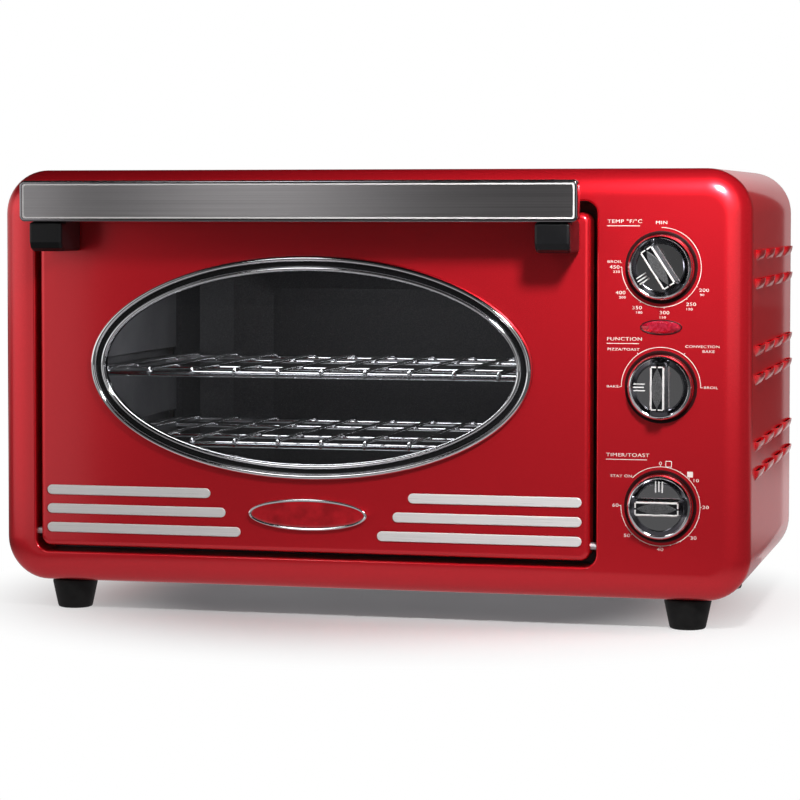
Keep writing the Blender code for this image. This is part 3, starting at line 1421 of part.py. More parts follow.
def make_controls(steel, plastic):
    """Thermostat, function switch and timer on their plate, each bored for its shaft."""
    plate_back = CONTROL_PLATE_DEPTH + CONTROL_PLATE_SHEET
    body_front = plate_back + FIT
    collar_front = body_front - COLLAR_LENGTH
    box = centred_box(DIAL_X, DIAL_MIDDLE, CONTROL_PLATE_WIDTH, CONTROL_PLATE_HEIGHT)
    outline = rounded_outline(box, CONTROL_PLATE_RADIUS, COARSE_STEPS)
    plate = make_object("control_plate", [prism(outline, CONTROL_PLATE_DEPTH, plate_back)], steel)
    holes = []
    for z in DIAL_HEIGHTS:
        profile = (
            (COLLAR_RADIUS + FIT, CONTROL_PLATE_DEPTH - OVERRUN),
            (COLLAR_RADIUS + FIT, plate_back + OVERRUN),
        )
        holes.append(turned_rings(profile, point_at(DIAL_X, 0.0, z), SMALL_SIDES))
    cut(plate, "control_plate_holes", holes)
    pieces = [plate]
    boxes = (
        ("thermostat", THERMOSTAT_WIDTH, THERMOSTAT_HEIGHT, THERMOSTAT_DEPTH, steel),
        ("function_switch", SWITCH_WIDTH, SWITCH_HEIGHT, SWITCH_DEPTH, plastic),
    )
    for (name, width, height, depth, material), z in zip(boxes, DIAL_HEIGHTS):
        outline = rounded_outline(centred_box(DIAL_X, z, width, height), CONTROL_EDGE, COARSE_STEPS)
        body = make_object(name, [prism(outline, body_front, body_front + depth)], material)
        pieces.append(body)
    timer_z = DIAL_HEIGHTS[2]
    profile = ((TIMER_RADIUS, body_front), (TIMER_RADIUS, body_front + TIMER_DEPTH))
    rings = turned_rings(profile, point_at(DIAL_X, 0.0, timer_z), DIAL_SIDES)
    pieces.append(make_object("timer_movement", [rings], steel))
    for body, z in zip(pieces[1:], DIAL_HEIGHTS):
        join(body, f"{body.name}_collar", [control_collar(collar_front, z)])
        bore = SHAFT_RADIUS + FIT
        profile = ((bore, collar_front - OVERRUN), (bore, body_front + SHAFT_TAIL + FIT * 2))
        bore_rings = turned_rings(profile, point_at(DIAL_X, 0.0, z), SMALL_SIDES)
        cut(body, f"{body.name}_bore", [bore_rings])
    return pieces


def make_pilot(lens_plastic, lamp_glass):
    """The oval jewel lens in its panel hole, and the lamp behind it."""
    half_width, half_height = PILOT_WIDTH / 2, PILOT_HEIGHT / 2
    margin = PILOT_STEM_MARGIN
    levels = (
        (margin, BEZEL_WALL + PILOT_STEM),
        (margin, -FIT),
        (0.0, -FIT),
        (0.0, -FIT - PILOT_RIM),
        (margin * PILOT_SLOPE_SHARES[0], -FIT - (PILOT_RIM + PILOT_CROWN) / 2),
        (margin * PILOT_SLOPE_SHARES[1], -FIT - PILOT_CROWN),
    )
    rings = []
    for inset, depth in levels:
        outline = oval_outline(DIAL_X, PILOT_Z, half_width - inset, half_height - inset, PILOT_SIDES)
        rings.append(ring_at(outline, depth))
    lens = make_object("pilot_lens", [rings], lens_plastic, 60.0)
    start = BEZEL_WALL + PILOT_STEM + FIT
    profile = (
        (LAMP_RADIUS - LAMP_SHOULDER, start),
        (LAMP_RADIUS, start + LAMP_SHOULDER),
        (LAMP_RADIUS, start + LAMP_LENGTH),
    )
    lamp_rings = turned_rings(profile, point_at(DIAL_X, 0.0, PILOT_Z), SMALL_SIDES)
    lamp = make_object("pilot_lamp", [lamp_rings], lamp_glass)
    return lens, lamp


def make_fan(steel, motor_steel):
    """The convection fan with its shaft, the drum it turns in and its motor."""
    wall = CAVITY_BOX[1] + CAVITY_SHEET
    centre = point_at(0.0, FAN_DEPTH, FAN_Z)
    drum_start = wall + FIT
    drum_end = drum_start + FAN_HOUSING_LENGTH
    drum_profile = (
        (FAN_HOUSING_RADIUS - FAN_HOUSING_SHEET, drum_start + FAN_HOUSING_SHEET),
        (FAN_HOUSING_RADIUS - FAN_HOUSING_SHEET, drum_end - FAN_HOUSING_SHEET),
        (FAN_SHAFT_RADIUS * 2, drum_end - FAN_HOUSING_SHEET),
        (FAN_SHAFT_RADIUS * 2, drum_end),
        (FAN_HOUSING_RADIUS, drum_end),
        (FAN_HOUSING_RADIUS, drum_start + FAN_HOUSING_SHEET),
        (FAN_HOUSING_RADIUS + FAN_HOUSING_LIP, drum_start + FAN_HOUSING_SHEET),
        (FAN_HOUSING_RADIUS + FAN_HOUSING_LIP, drum_start),
        (FAN_HOUSING_RADIUS - FAN_HOUSING_SHEET, drum_start),
    )
    drum_rings = turned_rings(drum_profile, centre, FOOT_SIDES, "X")
    drum = make_object("fan_housing", [(drum_rings, True)], steel)
    motor_start = drum_end + FIT
    motor_end = motor_start + MOTOR_LENGTH
    bore = FAN_SHAFT_RADIUS + FIT
    shaft_end = drum_start + FAN_WALL_GAP + FAN_SHAFT_LENGTH
    motor_profile = (
        (bore, shaft_end + FIT * 2),
        (bore, motor_start),
        (MOTOR_RADIUS - MOTOR_EDGE, motor_start),
        (MOTOR_RADIUS, motor_start + MOTOR_EDGE),
        (MOTOR_RADIUS, motor_end - MOTOR_EDGE),
        (MOTOR_RADIUS - MOTOR_EDGE, motor_end),
    )
    motor = make_object("fan_motor", [turned_rings(motor_profile, centre, FOOT_SIDES, "X")], motor_steel)
    hub_start = drum_start + FAN_WALL_GAP
    hub_profile = (
        (FAN_HUB_RADIUS - MOTOR_EDGE, hub_start),
        (FAN_HUB_RADIUS, hub_start + MOTOR_EDGE),
        (FAN_HUB_RADIUS, hub_start + FAN_HUB_LENGTH),
        (FAN_SHAFT_RADIUS, hub_start + FAN_HUB_LENGTH),
        (FAN_SHAFT_RADIUS, shaft_end),
    )
    fan = make_object("convection_fan", [turned_rings(hub_profile, centre, SMALL_SIDES, "X")], steel)
    blades = []
    blade_start = hub_start + (FAN_HUB_LENGTH - FAN_BLADE_WIDTH) / 2
    half = FAN_BLADE_SHEET / 2
    section = (
        (0.0, -FAN_BLADE_PITCH - half),
        (FAN_BLADE_WIDTH, FAN_BLADE_PITCH - half),
        (FAN_BLADE_WIDTH, FAN_BLADE_PITCH + half),
        (0.0, -FAN_BLADE_PITCH + half),
    )
    for blade in range(FAN_BLADES):
        angle = 2 * pi * (blade + 0.5) / FAN_BLADES
        along = Vector((0.0, cos(angle), sin(angle)))
        across = Vector((0.0, -sin(angle), cos(angle)))
        rings = []
        for distance in (FAN_HUB_RADIUS - FAN_BLADE_HUB_OVERLAP, FAN_RADIUS):
            root = centre + along * distance
            ring = []
            for x, sideways in section:
                ring.append(root + Vector((blade_start + x, 0.0, 0.0)) + across * sideways)
            rings.append(ring)
        blades.append(rings)
    join(fan, "fan_blades", blades)
    set_origin_with_tools(fan, centre)
    return drum, motor, fan


def main():
    """Build every piece."""
    clear_scene()
    red_paint = make_material("red_paint", (0.55, 0.018, 0.024), 0.22, 0.25)
    chrome = make_material("chrome", (0.80, 0.80, 0.82), 0.10, 1.0)
    brushed = make_material("brushed_steel", (0.36, 0.34, 0.34), 0.34, 1.0)
    zinc = make_material("zinc_steel", (0.52, 0.53, 0.54), 0.42, 1.0)
    dark_liner = make_material("dark_liner", (0.10, 0.10, 0.105), 0.45, 0.6)
    black = make_material("black_plastic", (0.012, 0.012, 0.013), 0.38, 0.0)
    rubber = make_material("black_rubber", (0.010, 0.010, 0.010), 0.62, 0.0)
    glass = make_material("window_glass", (0.06, 0.06, 0.065), 0.03, 0.0)
    ruby = make_material("ruby_lens", (0.62, 0.02, 0.05), 0.08, 0.0)
    silver = make_material("satin_silver", (0.62, 0.61, 0.60), 0.28, 0.9)
    make_bezel(red_paint)
    make_wrap(red_paint)
    make_base_plate(zinc)
    make_back_cover(zinc)
    make_gland(black)
    make_feet(rubber)
    make_cavity(dark_liner)
    make_heating_rods(zinc)
    make_crumb_tray(zinc)
    make_rack("rack_lower", RACK_HEIGHTS[0], chrome)
    make_rack("rack_upper", RACK_HEIGHTS[1], chrome)
    make_door_panel(red_paint)
    make_door_liner(dark_liner)
    make_door_glass(glass)
    make_window_ring(chrome, black)
    make_stripes(silver)
    make_badge(chrome)
    make_handle(chrome, brushed)
    make_brackets(black)
    make_hinges(zinc)
    knob_names = ("temperature", "function", "timer")
    for name, turn, z in zip(knob_names, KNOB_TURNS, DIAL_HEIGHTS):
        make_knob(f"{name}_knob", turn, z, black)
        make_shaft(f"{name}_shaft", z, zinc)
    make_controls(zinc, black)
    make_pilot(ruby, glass)
    make_fan(zinc, black)


main()
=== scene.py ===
"""Looks of a countertop convection oven: paint, chrome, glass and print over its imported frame.

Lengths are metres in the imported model's frame. X runs to the right of someone who faces the
door, Y runs from the front to the back, and Z runs up from the surface it stands on.
"""
import json
from math import cos
from math import pi
from math import radians
from math import sin

import bmesh
import bpy
from mathutils import Matrix
from mathutils import Vector


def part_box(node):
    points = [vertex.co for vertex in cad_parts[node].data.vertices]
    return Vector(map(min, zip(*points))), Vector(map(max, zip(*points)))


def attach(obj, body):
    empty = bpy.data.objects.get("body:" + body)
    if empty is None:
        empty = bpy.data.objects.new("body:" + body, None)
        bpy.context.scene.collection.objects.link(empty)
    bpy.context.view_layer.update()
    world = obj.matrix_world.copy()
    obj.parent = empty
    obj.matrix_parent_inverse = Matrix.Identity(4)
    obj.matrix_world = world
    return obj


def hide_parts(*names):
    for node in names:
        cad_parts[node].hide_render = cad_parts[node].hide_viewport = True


# Camera, from the photograph: lens for a 36 mm sensor, shifts as shares of the frame's width
CAMERA_PLACE = (0.4470, -1.93365, 0.2696)
CAMERA_PITCH = 2.488
CAMERA_YAW = 14.306
CAMERA_SENSOR = 36.0
CAMERA_LENS = 128.88
CAMERA_SHIFT_SHARES = (0.0688, -0.0841)
CAMERA_CLIP = (0.05, 60.0)

# Clearances, and facets of curves
OVERRUN = 0.002
FIT = 0.0003
FINE_CORNER = 14
SMALL_CORNER = 6
FINE_ROLL = 10
FINE_OVAL = 144
FINE_ROUND = 64
FINE_WIRE = 12
THIN_WIRE = 8
BEAD_STEPS = 10

# Edges that turn by more than these degrees stay crisp
SHARP_FACETS = 8.0
SHARP_CRISP = 30.0
SHARP_PLAIN = 35.0
SHARP_TURNED = 40.0
SHARP_PRESSED = 50.0
SHARP_WIRE = 60.0
SHARP_BAR = 70.0
SHARP_BEAD = 75.0

# Front moulding
CORNER_RADIUS = 0.029
BEZEL_DEPTH = 0.013
BEZEL_WALL = 0.0022
BEZEL_ROLL_WIDTH = 0.018
BEZEL_ROLL_DEPTH = 0.0115
OPENING_RADIUS = 0.0085
OPENING_FLARE = 0.0014
FLARE_STEPS = 6
LEFT_BAR = 0.0235
CONTROL_PANEL = 0.0975
BOTTOM_BAR = 0.0203
TOP_BAR = 0.0206
SLEEVE_WALL = 0.002
DIAL_RECESS_RADIUS = 0.0218
DIAL_RECESS = 0.0012
SHAFT_HOLE_RADIUS = 0.006

# Casing sheet and louvres
CASING_SHEET = 0.0012
UNDER_FLANGE = 0.060
LOUVRE_LENGTH = 0.046
LOUVRE_HEIGHT = 0.0070
LOUVRE_BULGE = 0.0032
LOUVRE_SHEET = 0.0007
LOUVRE_SLOT_SIDE = 0.004
LOUVRE_SLOT_FOOT = 0.0018
LOUVRE_FIRST_DEPTH = 0.050
LOUVRE_PITCH = 0.060
LOUVRE_COLUMNS = 4
LOUVRE_ROW_GAP = 0.0184
LOUVRE_PAIR_PITCH = 0.0613
LOUVRE_PAIRS = 3
LOUVRE_MIDDLE_RISE = 0.149
HOOD_STATIONS = 14
HOOD_RISES = 7
HOOD_END_POWER = 4
HOOD_FULLNESS = 0.8

# Rear pan, with the slopes at its bulge's sides, foot and head
BULGE_MARGIN = 0.0047
BULGE_SLOPES = (0.060, 0.014, 0.050)
BULGE_RADIUS = 0.030
REAR_SLOT_WIDTH = 0.052
REAR_SLOT_HEIGHT = 0.0035
REAR_SLOT_PITCH = 0.011
REAR_SLOTS = 9
REAR_SLOT_RISE = 0.092
GLAND_WALL = 0.003

# Feet: insets and rises round the sole, insets and drops round the top
FOOT_TAPER = 0.0034
FOOT_HOLE_RADIUS = 0.0045
FOOT_HOLE_DEPTH = 0.008
FOOT_SOLE = ((0.0016, 0.0), (0.0005, 0.0005), (0.0, 0.0016))
FOOT_TOP = ((0.0, 0.0020), (0.0005, 0.0006), (0.0016, 0.0))

# Door
DOOR_RADIUS = 0.0065
DOOR_ROLL = 0.0036
DOOR_SKIN = 0.0016
DOOR_SKIN_DEPTH = 0.015
WINDOW_WIDTH = 0.277
WINDOW_HEIGHT = 0.126
RING_WIDTH = 0.0103
RING_NECK = 0.0030
RING_BASE = 0.0012
INNER_BEAD_WIDTH = 0.0034
OUTER_BEAD_WIDTH = 0.0042
STRIPE_CROWN = 0.0007
STRIPE_STEPS = 5
GROOVE_MARGIN = 0.0006
GROOVE_DEPTH = 0.0009
BADGE_RIM = 0.0021
BADGE_DISH = 0.0007
BADGE_STEPS = 6

# Handle
HANDLE_RADIUS = 0.0035
HANDLE_ROLL = 0.0012
HANDLE_ROLL_STEPS = 4
HANDLE_RIM = 0.0019
HANDLE_LINE = 0.0011

# Knobs: pointers in degrees clockwise from straight up, and profiles as (inset, rise) pairs
KNOB_TURNS = {"temperature": 237.0, "function": 270.0, "timer": 0.0}
KNOB_SIDES = 128
KNOB_RIM_WIDTH = 0.0052
KNOB_FACE_HEIGHT = 0.0066
KNOB_BEVEL = (
    (0.0012, 0.0053),
    (0.0002, 0.0056),
    (0.0004, 0.0072),
    (0.0014, 0.0084),
    (0.0021, 0.0088),
    (0.0029, 0.0085),
    (0.0049, 0.0069),
    (0.0052, 0.0066),
)
KNOB_SKIRT = ((0.0006, 0.0), (0.0, 0.0044), (0.0, 0.0056), (0.0012, 0.0056))
KNOB_DISH = 0.0014
DISC_GAP = 0.0001
DISC_LIP = 0.0003
DISC_EDGE = 0.0007
DISC_STEPS = 10

# Grip: rows of (rise from its foot, length, width), and of (drop from its tip, length, width)
GRIP_FOOT = ((0.0, 0.0306, 0.0124), (0.0016, 0.0300, 0.0112))
GRIP_TOP = ((0.0009, 0.0278, 0.0086), (0.00054, 0.0276, 0.00815), (0.00036, 0.0268, 0.00716))
GRIP_CORNER_SHARE = 0.16
INLAY_ROWS = ((0.0009, 0.0127, 0.0034), (0.0001, 0.0127, 0.0034), (0.0, 0.0124, 0.0031))
INLAY_STEPS = 12
# Silver lines painted as highlights along the grip top's sides and at its ends: reach, side,
# radius and facets, then the ends' reach, span, drop and radius
EDGE_REACH = 0.0131
EDGE_SIDE = 0.00385
EDGE_RADIUS = 0.00072
EDGE_STEPS = 12
EDGE_SIDES = 10
END_REACH = 0.0134
END_SPAN = (0.0006, 0.0037)
END_DROP = 0.00054
END_RADIUS = 0.00050

# Pointer's lines: reach inside and outside the rim's inner edge, and radius
POINTER_LIFT = 0.0006
POINTER_PITCH = 0.0021
POINTER_SIDE_LINE = (0.0062, 0.0016, 0.00040)
POINTER_MIDDLE_LINE = (0.0056, 0.0014, 0.00045)

# Rings that line the dials' recesses, their dark red painted as the shade in the recesses
SHADE_RING_WIDTH = 0.0016
SHADE_RING_RISE = 0.00025
SHADE_RING_GAP = 0.0002

# Pilot lens: (inset, rise) pairs up its side, and the share that its flat top keeps
PILOT_SIDE = ((0.0, -0.004), (0.0, 0.0006), (0.0006, 0.0010))
PILOT_TOP_SHARE = 0.62
PILOT_FACETS = 28
# A thin rim round the lens, its dark red painted as shade round it: its size as shares of the
# lens's, then radius and steps
PILOT_SHADE_RIM_SHARES = (1.03, 1.06)
PILOT_SHADE_RIM_RADIUS = 0.00045
PILOT_SHADE_RIM_STEPS = 48

# Print on the panel, its base just clear of the paint
SCALE_RADIUS = 0.0252
SCALE_LINE = 0.00042
ARC_STEP = 3
PRINT_BASE = 0.00003
PRINT_LIFT = 0.00006
PRINT_SHEET = 0.00005
NUMBER_SIZE = 0.0030
SMALL_SIZE = 0.0021
WORD_SIZE = 0.00231
BROIL_SIZE = 0.002415
HEADING_SIZE = 0.0031
UNDERLINE_DROP = 0.0028
LETTER_STRETCH_SHARE = 1.36
LETTER_SPACING_SHARE = 1.08

# Headings: words, then left end, height over the dial's middle, and the underline's width
HEADINGS = {
    "temperature": ("TEMP °F/°C", -0.0345, 0.0290, 0.0207),
    "function": ("FUNCTION", -0.0347, 0.0302, 0.0207),
    "timer": ("TIMER/TOAST", -0.0348, 0.0322, 0.0262),
}
SCALE_ENDS = {"temperature": (0, 270), "function": (-90, 90), "timer": (-45, 270)}

# Temperature marks: bearing, reach, and the number in either unit
TEMPERATURE_MARKS = (
    (118, 0.0306, "200", "90"),
    (141, 0.0300, "250", "120"),
    (176, 0.0288, "300", "150"),
    (211, 0.0300, "350", "180"),
    (238, 0.0306, "400", "200"),
    (270, 0.0298, "450", "230"),
)
TEMPERATURE_TICK = 0.0009
SMALL_DROP = 0.0030
SMALL_SHIFT = 0.0012
MIN_REACH = 0.0282
BROIL_RISE = 0.0034

# Function marks: bearings of the ticks, and words with their places from the dial's middle
FUNCTION_BEARINGS = (-90, -35, 35, 90)
FUNCTION_TICK = 0.0012
FUNCTION_WORDS = (
    ("PIZZA/TOAST", -0.0240, 0.0236),
    ("CONVECTION", 0.0262, 0.0258),
    ("BAKE", 0.0300, 0.0228),
    ("BAKE", -0.0308, 0.0),
    ("BROIL", 0.0316, 0.0),
)

# Timer marks: bearing, reach and number, ticks, and the two slices of toast
TIMER_MARKS = (
    (0, 0.0273, "0"),
    (53, 0.0280, "10"),
    (90, 0.0287, "20"),
    (133, 0.0288, "30"),
    (180, 0.0274, "40"),
    (228, 0.0286, "50"),
    (270, 0.0287, "60"),
)
TIMER_TICK_STEP = 15
TIMER_LONG_STEP = 45
TIMER_TICK = 0.0006
TIMER_LONG_TICK = 0.0010
STAY_ON_PLACE = (-0.0250, 0.0188)
PALE_SLICE_PLACE = (0.0052, 0.0270)
DARK_SLICE_PLACE = (0.0188, 0.0207)
SLICE_SIDE = 0.0036

# Racks
RACK_WIRE_PITCH = 0.030
RACK_WIRES = 11
RACK_ROD_RADIUS = 0.0021
RACK_WIRE_RADIUS = 0.0014
RACK_CORNER = 0.012
RACK_CORNER_STEPS = 8
RACK_CROSS_PITCH = 0.090
HOOK_TURN = 0.62 * pi
HOOK_STEPS = 6

# Materials: the values that a noise runs between, and white
NOISE_RANGE = (0.3, 0.7)
WHITE = (1.0, 1.0, 1.0, 1.0)

# Room seen in gloss: where a direction's axis starts and ends, and the levels there
ROOM_LEFT = (-0.30, -0.80, 0.06, 0.70)
ROOM_BACK = (0.30, 0.90, 0.0, 0.25)
ROOM_RIGHT = (-0.05, 0.09, 1.0, 0.02)
ROOM_ABOVE = (0.15, 0.45, 1.0, 0.06)
AMBIENT = 0.05

# Floor: its paint, the light it throws back, and where it fades, by distance or along Y
FLOOR_REACH = 6.0
FLOOR_COLOUR = (0.94, 0.94, 0.94, 1.0)
FLOOR_ROUGHNESS = 0.6
FLOOR_BOUNCE = (0.28, 0.28, 0.28, 1.0)
FLOOR_NEAR_GLOSS = (0.44, 0.42, 0.43, 1.0)
FLOOR_FADE = (0.14, 0.33)
FLOOR_GLOSS_FADE = (0.30, 0.42)
FLOOR_BACK = (0.20, 0.50, 0.10, 0.42)
FLOOR_FAR_BACK = (0.8, 1.5, 0.42, 0.03)

# Lamps: place, target, width and height, and power in watts
LAMP_TARGET = (0.0, -0.05, 0.15)
LAMPS = {
    "over_box": ((0.0, -0.60, 1.30), LAMP_TARGET, (1.6, 1.2), 1.8),
    "key_box": ((0.33, -0.62, 0.56), (0.17, -0.13, 0.25), (0.09, 0.09), 1.05),
    "strip_box": ((-0.42, -1.27, 0.92), LAMP_TARGET, (0.18, 0.52), 1.3),
    "left_box": ((-0.56, -0.38, 0.25), (-0.42, -0.12, 0.25), (0.54, 0.50), 0.44),
    "right_box": ((0.90, -1.52, 0.60), LAMP_TARGET, (1.2, 1.1), 2.0),
    "side_box": ((1.30, 0.20, 0.70), LAMP_TARGET, (0.7, 0.7), 8.0),
    "rear_box": ((-0.02, 0.20, 0.19), (-0.02, 0.0, 0.19), (0.564, 0.38), 0.30),
}
KEY_SPREAD = 80.0
GLOW_SIZE = (0.24, 0.12)
GLOW_POWER = 0.60
GLOW_FORWARD = 0.03
GLOW_DROP = 0.004

# Frame
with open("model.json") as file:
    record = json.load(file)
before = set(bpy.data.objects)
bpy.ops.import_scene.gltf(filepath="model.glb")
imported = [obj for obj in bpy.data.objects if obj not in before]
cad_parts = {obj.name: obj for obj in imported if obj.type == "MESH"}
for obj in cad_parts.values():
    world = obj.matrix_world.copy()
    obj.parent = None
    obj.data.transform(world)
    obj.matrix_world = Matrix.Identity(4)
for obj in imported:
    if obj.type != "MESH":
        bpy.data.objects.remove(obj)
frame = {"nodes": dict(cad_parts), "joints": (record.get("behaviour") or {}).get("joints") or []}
joints = {joint["name"]: joint for joint in frame["joints"]}
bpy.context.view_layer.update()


def node_box(node):
    """A node's outline as seen from the front: left, right, foot and head."""
    low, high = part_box(node)
    return (low.x, high.x, low.z, high.z)


BODY_BOX = node_box("front_bezel")
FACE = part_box("front_bezel")[0].y
OPENING_BOX = (
    BODY_BOX[0] + LEFT_BAR,
    BODY_BOX[1] - CONTROL_PANEL,
    BODY_BOX[2] + BOTTOM_BAR,
    BODY_BOX[3] - TOP_BAR,
)
DOOR_BOX = node_box("door_panel")
DOOR_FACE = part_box("door_panel")[0].y
WINDOW_BOX = node_box("window_seat_ring")
WINDOW_X = (WINDOW_BOX[0] + WINDOW_BOX[1]) / 2
WINDOW_Z = (WINDOW_BOX[2] + WINDOW_BOX[3]) / 2
DIAL_NAMES = ("temperature", "function", "timer")
DIAL_PLACES = {name: Vector(joints[f"{name}_turn"]["pos_m"]) for name in DIAL_NAMES}


# Outlines and lofts


def grow_box(box, distance):
    """The box made larger by a distance all round."""
    return (box[0] - distance, box[1] + distance, box[2] - distance, box[3] + distance)


def inset_box(box, side, foot, head):
    """The box drawn in by one distance at both sides, and by others below and above."""
    return (box[0] + side, box[1] - side, box[2] + foot, box[3] - head)


def centred_box(x, z, width, height):
    """The box of one width and height about a point."""
    return (x - width / 2, x + width / 2, z - height / 2, z + height / 2)


def oval_of(node):
    """An oval node as seen from the front: its middle's x and z, half width and half height."""
    left, right, foot, head = node_box(node)
    return (left + right) / 2, (foot + head) / 2, (right - left) / 2, (head - foot) / 2


def rounded_outline(box, radius, steps=FINE_CORNER):
    """Points (x, z) round a box with rounded corners."""
    left, right, foot, head = box
    corners = (
        (right - radius, foot + radius, -pi / 2),
        (right - radius, head - radius, 0.0),
        (left + radius, head - radius, pi / 2),
        (left + radius, foot + radius, pi),
    )
    points = []
    for x, z, start in corners:
        for step in range(steps + 1):
            angle = start + (pi / 2) * step / steps
            points.append((x + radius * cos(angle), z + radius * sin(angle)))
    return points


def slot_outline(box):
    """Points (x, z) round a bar whose ends are half circles."""
    return rounded_outline(box, (box[3] - box[2]) / 2 - FIT / 10, FINE_CORNER // 2)


def oval_outline(x, z, half_width, half_height, sides=FINE_OVAL):
    """Points (x, z) round an ellipse."""
    turns = [2 * pi * side / sides for side in range(sides)]
    return [(x + half_width * cos(turn), z + half_height * sin(turn)) for turn in turns]


def quarter_turn(steps):
    """Shares that a rounded edge has come in, and that it still has to rise, at each step."""
    turns = [(pi / 2) * step / steps for step in range(steps + 1)]
    return [(1 - cos(turn), 1 - sin(turn)) for turn in turns]


def ring_at(outline, y):
    """An outline stood upright at one y."""
    return [Vector((x, y, z)) for x, z in outline]


def prism(outline, front, back):
    """Rings of an outline carried straight back."""
    return [ring_at(outline, front), ring_at(outline, back)]


def block(box, front, back):
    """Rings of a plain box."""
    left, right, foot, head = box
    return prism([(left, foot), (right, foot), (right, head), (left, head)], front, back)


def rolled_rings(box, radius, rolls, rim, face, roll_depth):
    """Rings from a rim to a face whose edge is rolled over as a quarter of an ellipse."""
    toward = 1.0 if face > rim else -1.0
    rings = [ring_at(rounded_outline(box, radius), rim)]
    for come, left in quarter_turn(FINE_ROLL):
        side, foot, head = [roll * come for roll in rolls]
        corner = max(radius - min(side, foot, head), FIT)
        outline = rounded_outline(inset_box(box, side, foot, head), corner)
        rings.append(ring_at(outline, face - toward * roll_depth * left))
    return rings


def pan_rings(box, radius, rolls, rim, face, roll_depth, wall):
    """Rings of a thin pan: up its inside from the middle to the rim, then over its outside."""
    toward = 1.0 if face > rim else -1.0
    inner = rolled_rings(
        grow_box(box, -wall),
        max(radius - wall, FIT),
        [max(roll - wall, FIT) for roll in rolls],
        rim,
        face - toward * wall,
        max(roll_depth - wall, FIT),
    )
    return list(reversed(inner)) + rolled_rings(box, radius, rolls, rim, face, roll_depth)


def turned_rings(profile, centre, upright=False, sides=FINE_ROUND):
    """Rings of a turned shape from (radius, distance) pairs, back from a point or up from it."""
    rings = []
    for radius, distance in profile:
        ring = []
        for side in range(sides):
            across = radius * cos(2 * pi * side / sides)
            other = radius * sin(2 * pi * side / sides)
            offset = (across, other, distance) if upright else (across, distance, other)
            ring.append(centre + Vector(offset))
        rings.append(ring)
    return rings


def tube_rings(path, radius, loop=False, sides=FINE_WIRE):
    """Rings round a path of points."""
    rings = []
    count = len(path)
    for index, point in enumerate(path):
        before = path[index - 1] if loop or index else path[0]
        after = path[(index + 1) % count] if loop or index < count - 1 else path[-1]
        along = (after - before).normalized()
        steep = abs(along.z) >= cos(pi / 4)
        guide = Vector((1.0, 0.0, 0.0)) if steep else Vector((0.0, 0.0, 1.0))
        across = along.cross(guide).normalized()
        up = across.cross(along)
        ring = []
        for side in range(sides):
            angle = 2 * pi * side / sides
            ring.append(point + radius * (across * cos(angle) + up * sin(angle)))
        rings.append(ring)
    return rings


def oval_ring(section):
    """A loop of rings round the window from (distance outside the glass, y) pairs."""
    rings = []
    for side in range(FINE_OVAL):
        angle = 2 * pi * side / FINE_OVAL
        ring = []
        for outward, y in section:
            x = WINDOW_X + (WINDOW_WIDTH / 2 + outward) * cos(angle)
            z = WINDOW_Z + (WINDOW_HEIGHT / 2 + outward) * sin(angle)
            ring.append(Vector((x, y, z)))
        rings.append(ring)
    return (rings, True)


def bead_section(start, width, node):
    """A half-round section that rises forward from a bead node's back to its front."""
    low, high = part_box(node)
    section = []
    for step in range(BEAD_STEPS + 1):
        angle = pi * step / BEAD_STEPS
        inward = width / 2 * (1 - cos(angle))
        section.append((start + inward, high.y - (high.y - low.y) * sin(angle)))
    return section


# Objects


def fill_mesh(name, bodies):
    """A mesh of closed bodies, each a list of rings or a (rings, True) pair for a loop."""
    shape = bmesh.new()
    for body in bodies:
        rings, loop = body if isinstance(body, tuple) else (body, False)
        rows = [[shape.verts.new(point) for point in ring] for ring in rings]
        pairs = list(zip(rows, rows[1:]))
        if loop:
            pairs.append((rows[-1], rows[0]))
        else:
            shape.faces.new(rows[0])
            shape.faces.new(list(reversed(rows[-1])))
        for first, second in pairs:
            for index in range(len(first)):
                after = (index + 1) % len(first)
                shape.faces.new((first[index], first[after], second[after], second[index]))
    bmesh.ops.recalc_face_normals(shape, faces=shape.faces)
    data = bpy.data.meshes.new(name)
    shape.to_mesh(data)
    shape.free()
    return data


def add_object(name, data):
    """An object in the scene for its data."""
    item = bpy.data.objects.new(name, data)
    bpy.context.scene.collection.objects.link(item)
    return item


def rough_piece(name, rings):
    """An unfinished piece from one closed body, to be cut and dressed."""
    return add_object(name, fill_mesh(name, [rings]))


def cut(item, bodies):
    """Cut closed bodies from an object."""
    tool = add_object("cutter", fill_mesh("cutter", bodies))
    step = item.modifiers.new("cut", "BOOLEAN")
    step.operation = "DIFFERENCE"
    step.solver = "EXACT"
    step.object = tool
    graph = bpy.context.evaluated_depsgraph_get()
    data = bpy.data.meshes.new_from_object(item.evaluated_get(graph), depsgraph=graph)
    item.modifiers.clear()
    item.data = data
    bpy.data.objects.remove(tool, do_unlink=True)


def dress(item, material, body, stands_for=None, sharp=SHARP_PLAIN):
    """Give a piece its material and shading, and let it ride on its body."""
    item.data.materials.clear()
    item.data.materials.append(material)
    item.data.shade_smooth()
    item.data.set_sharp_from_angle(angle=radians(sharp))
    normals = item.modifiers.new("normals", "WEIGHTED_NORMAL")
    normals.keep_sharp = True
    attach(item, body)
    if stands_for:
        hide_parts(stands_for)


def piece(name, bodies, material, body, stands_for=None, sharp=SHARP_PLAIN):
    """A finished piece from closed bodies."""
    dress(add_object(name, fill_mesh(name, bodies)), material, body, stands_for, sharp)


# Materials


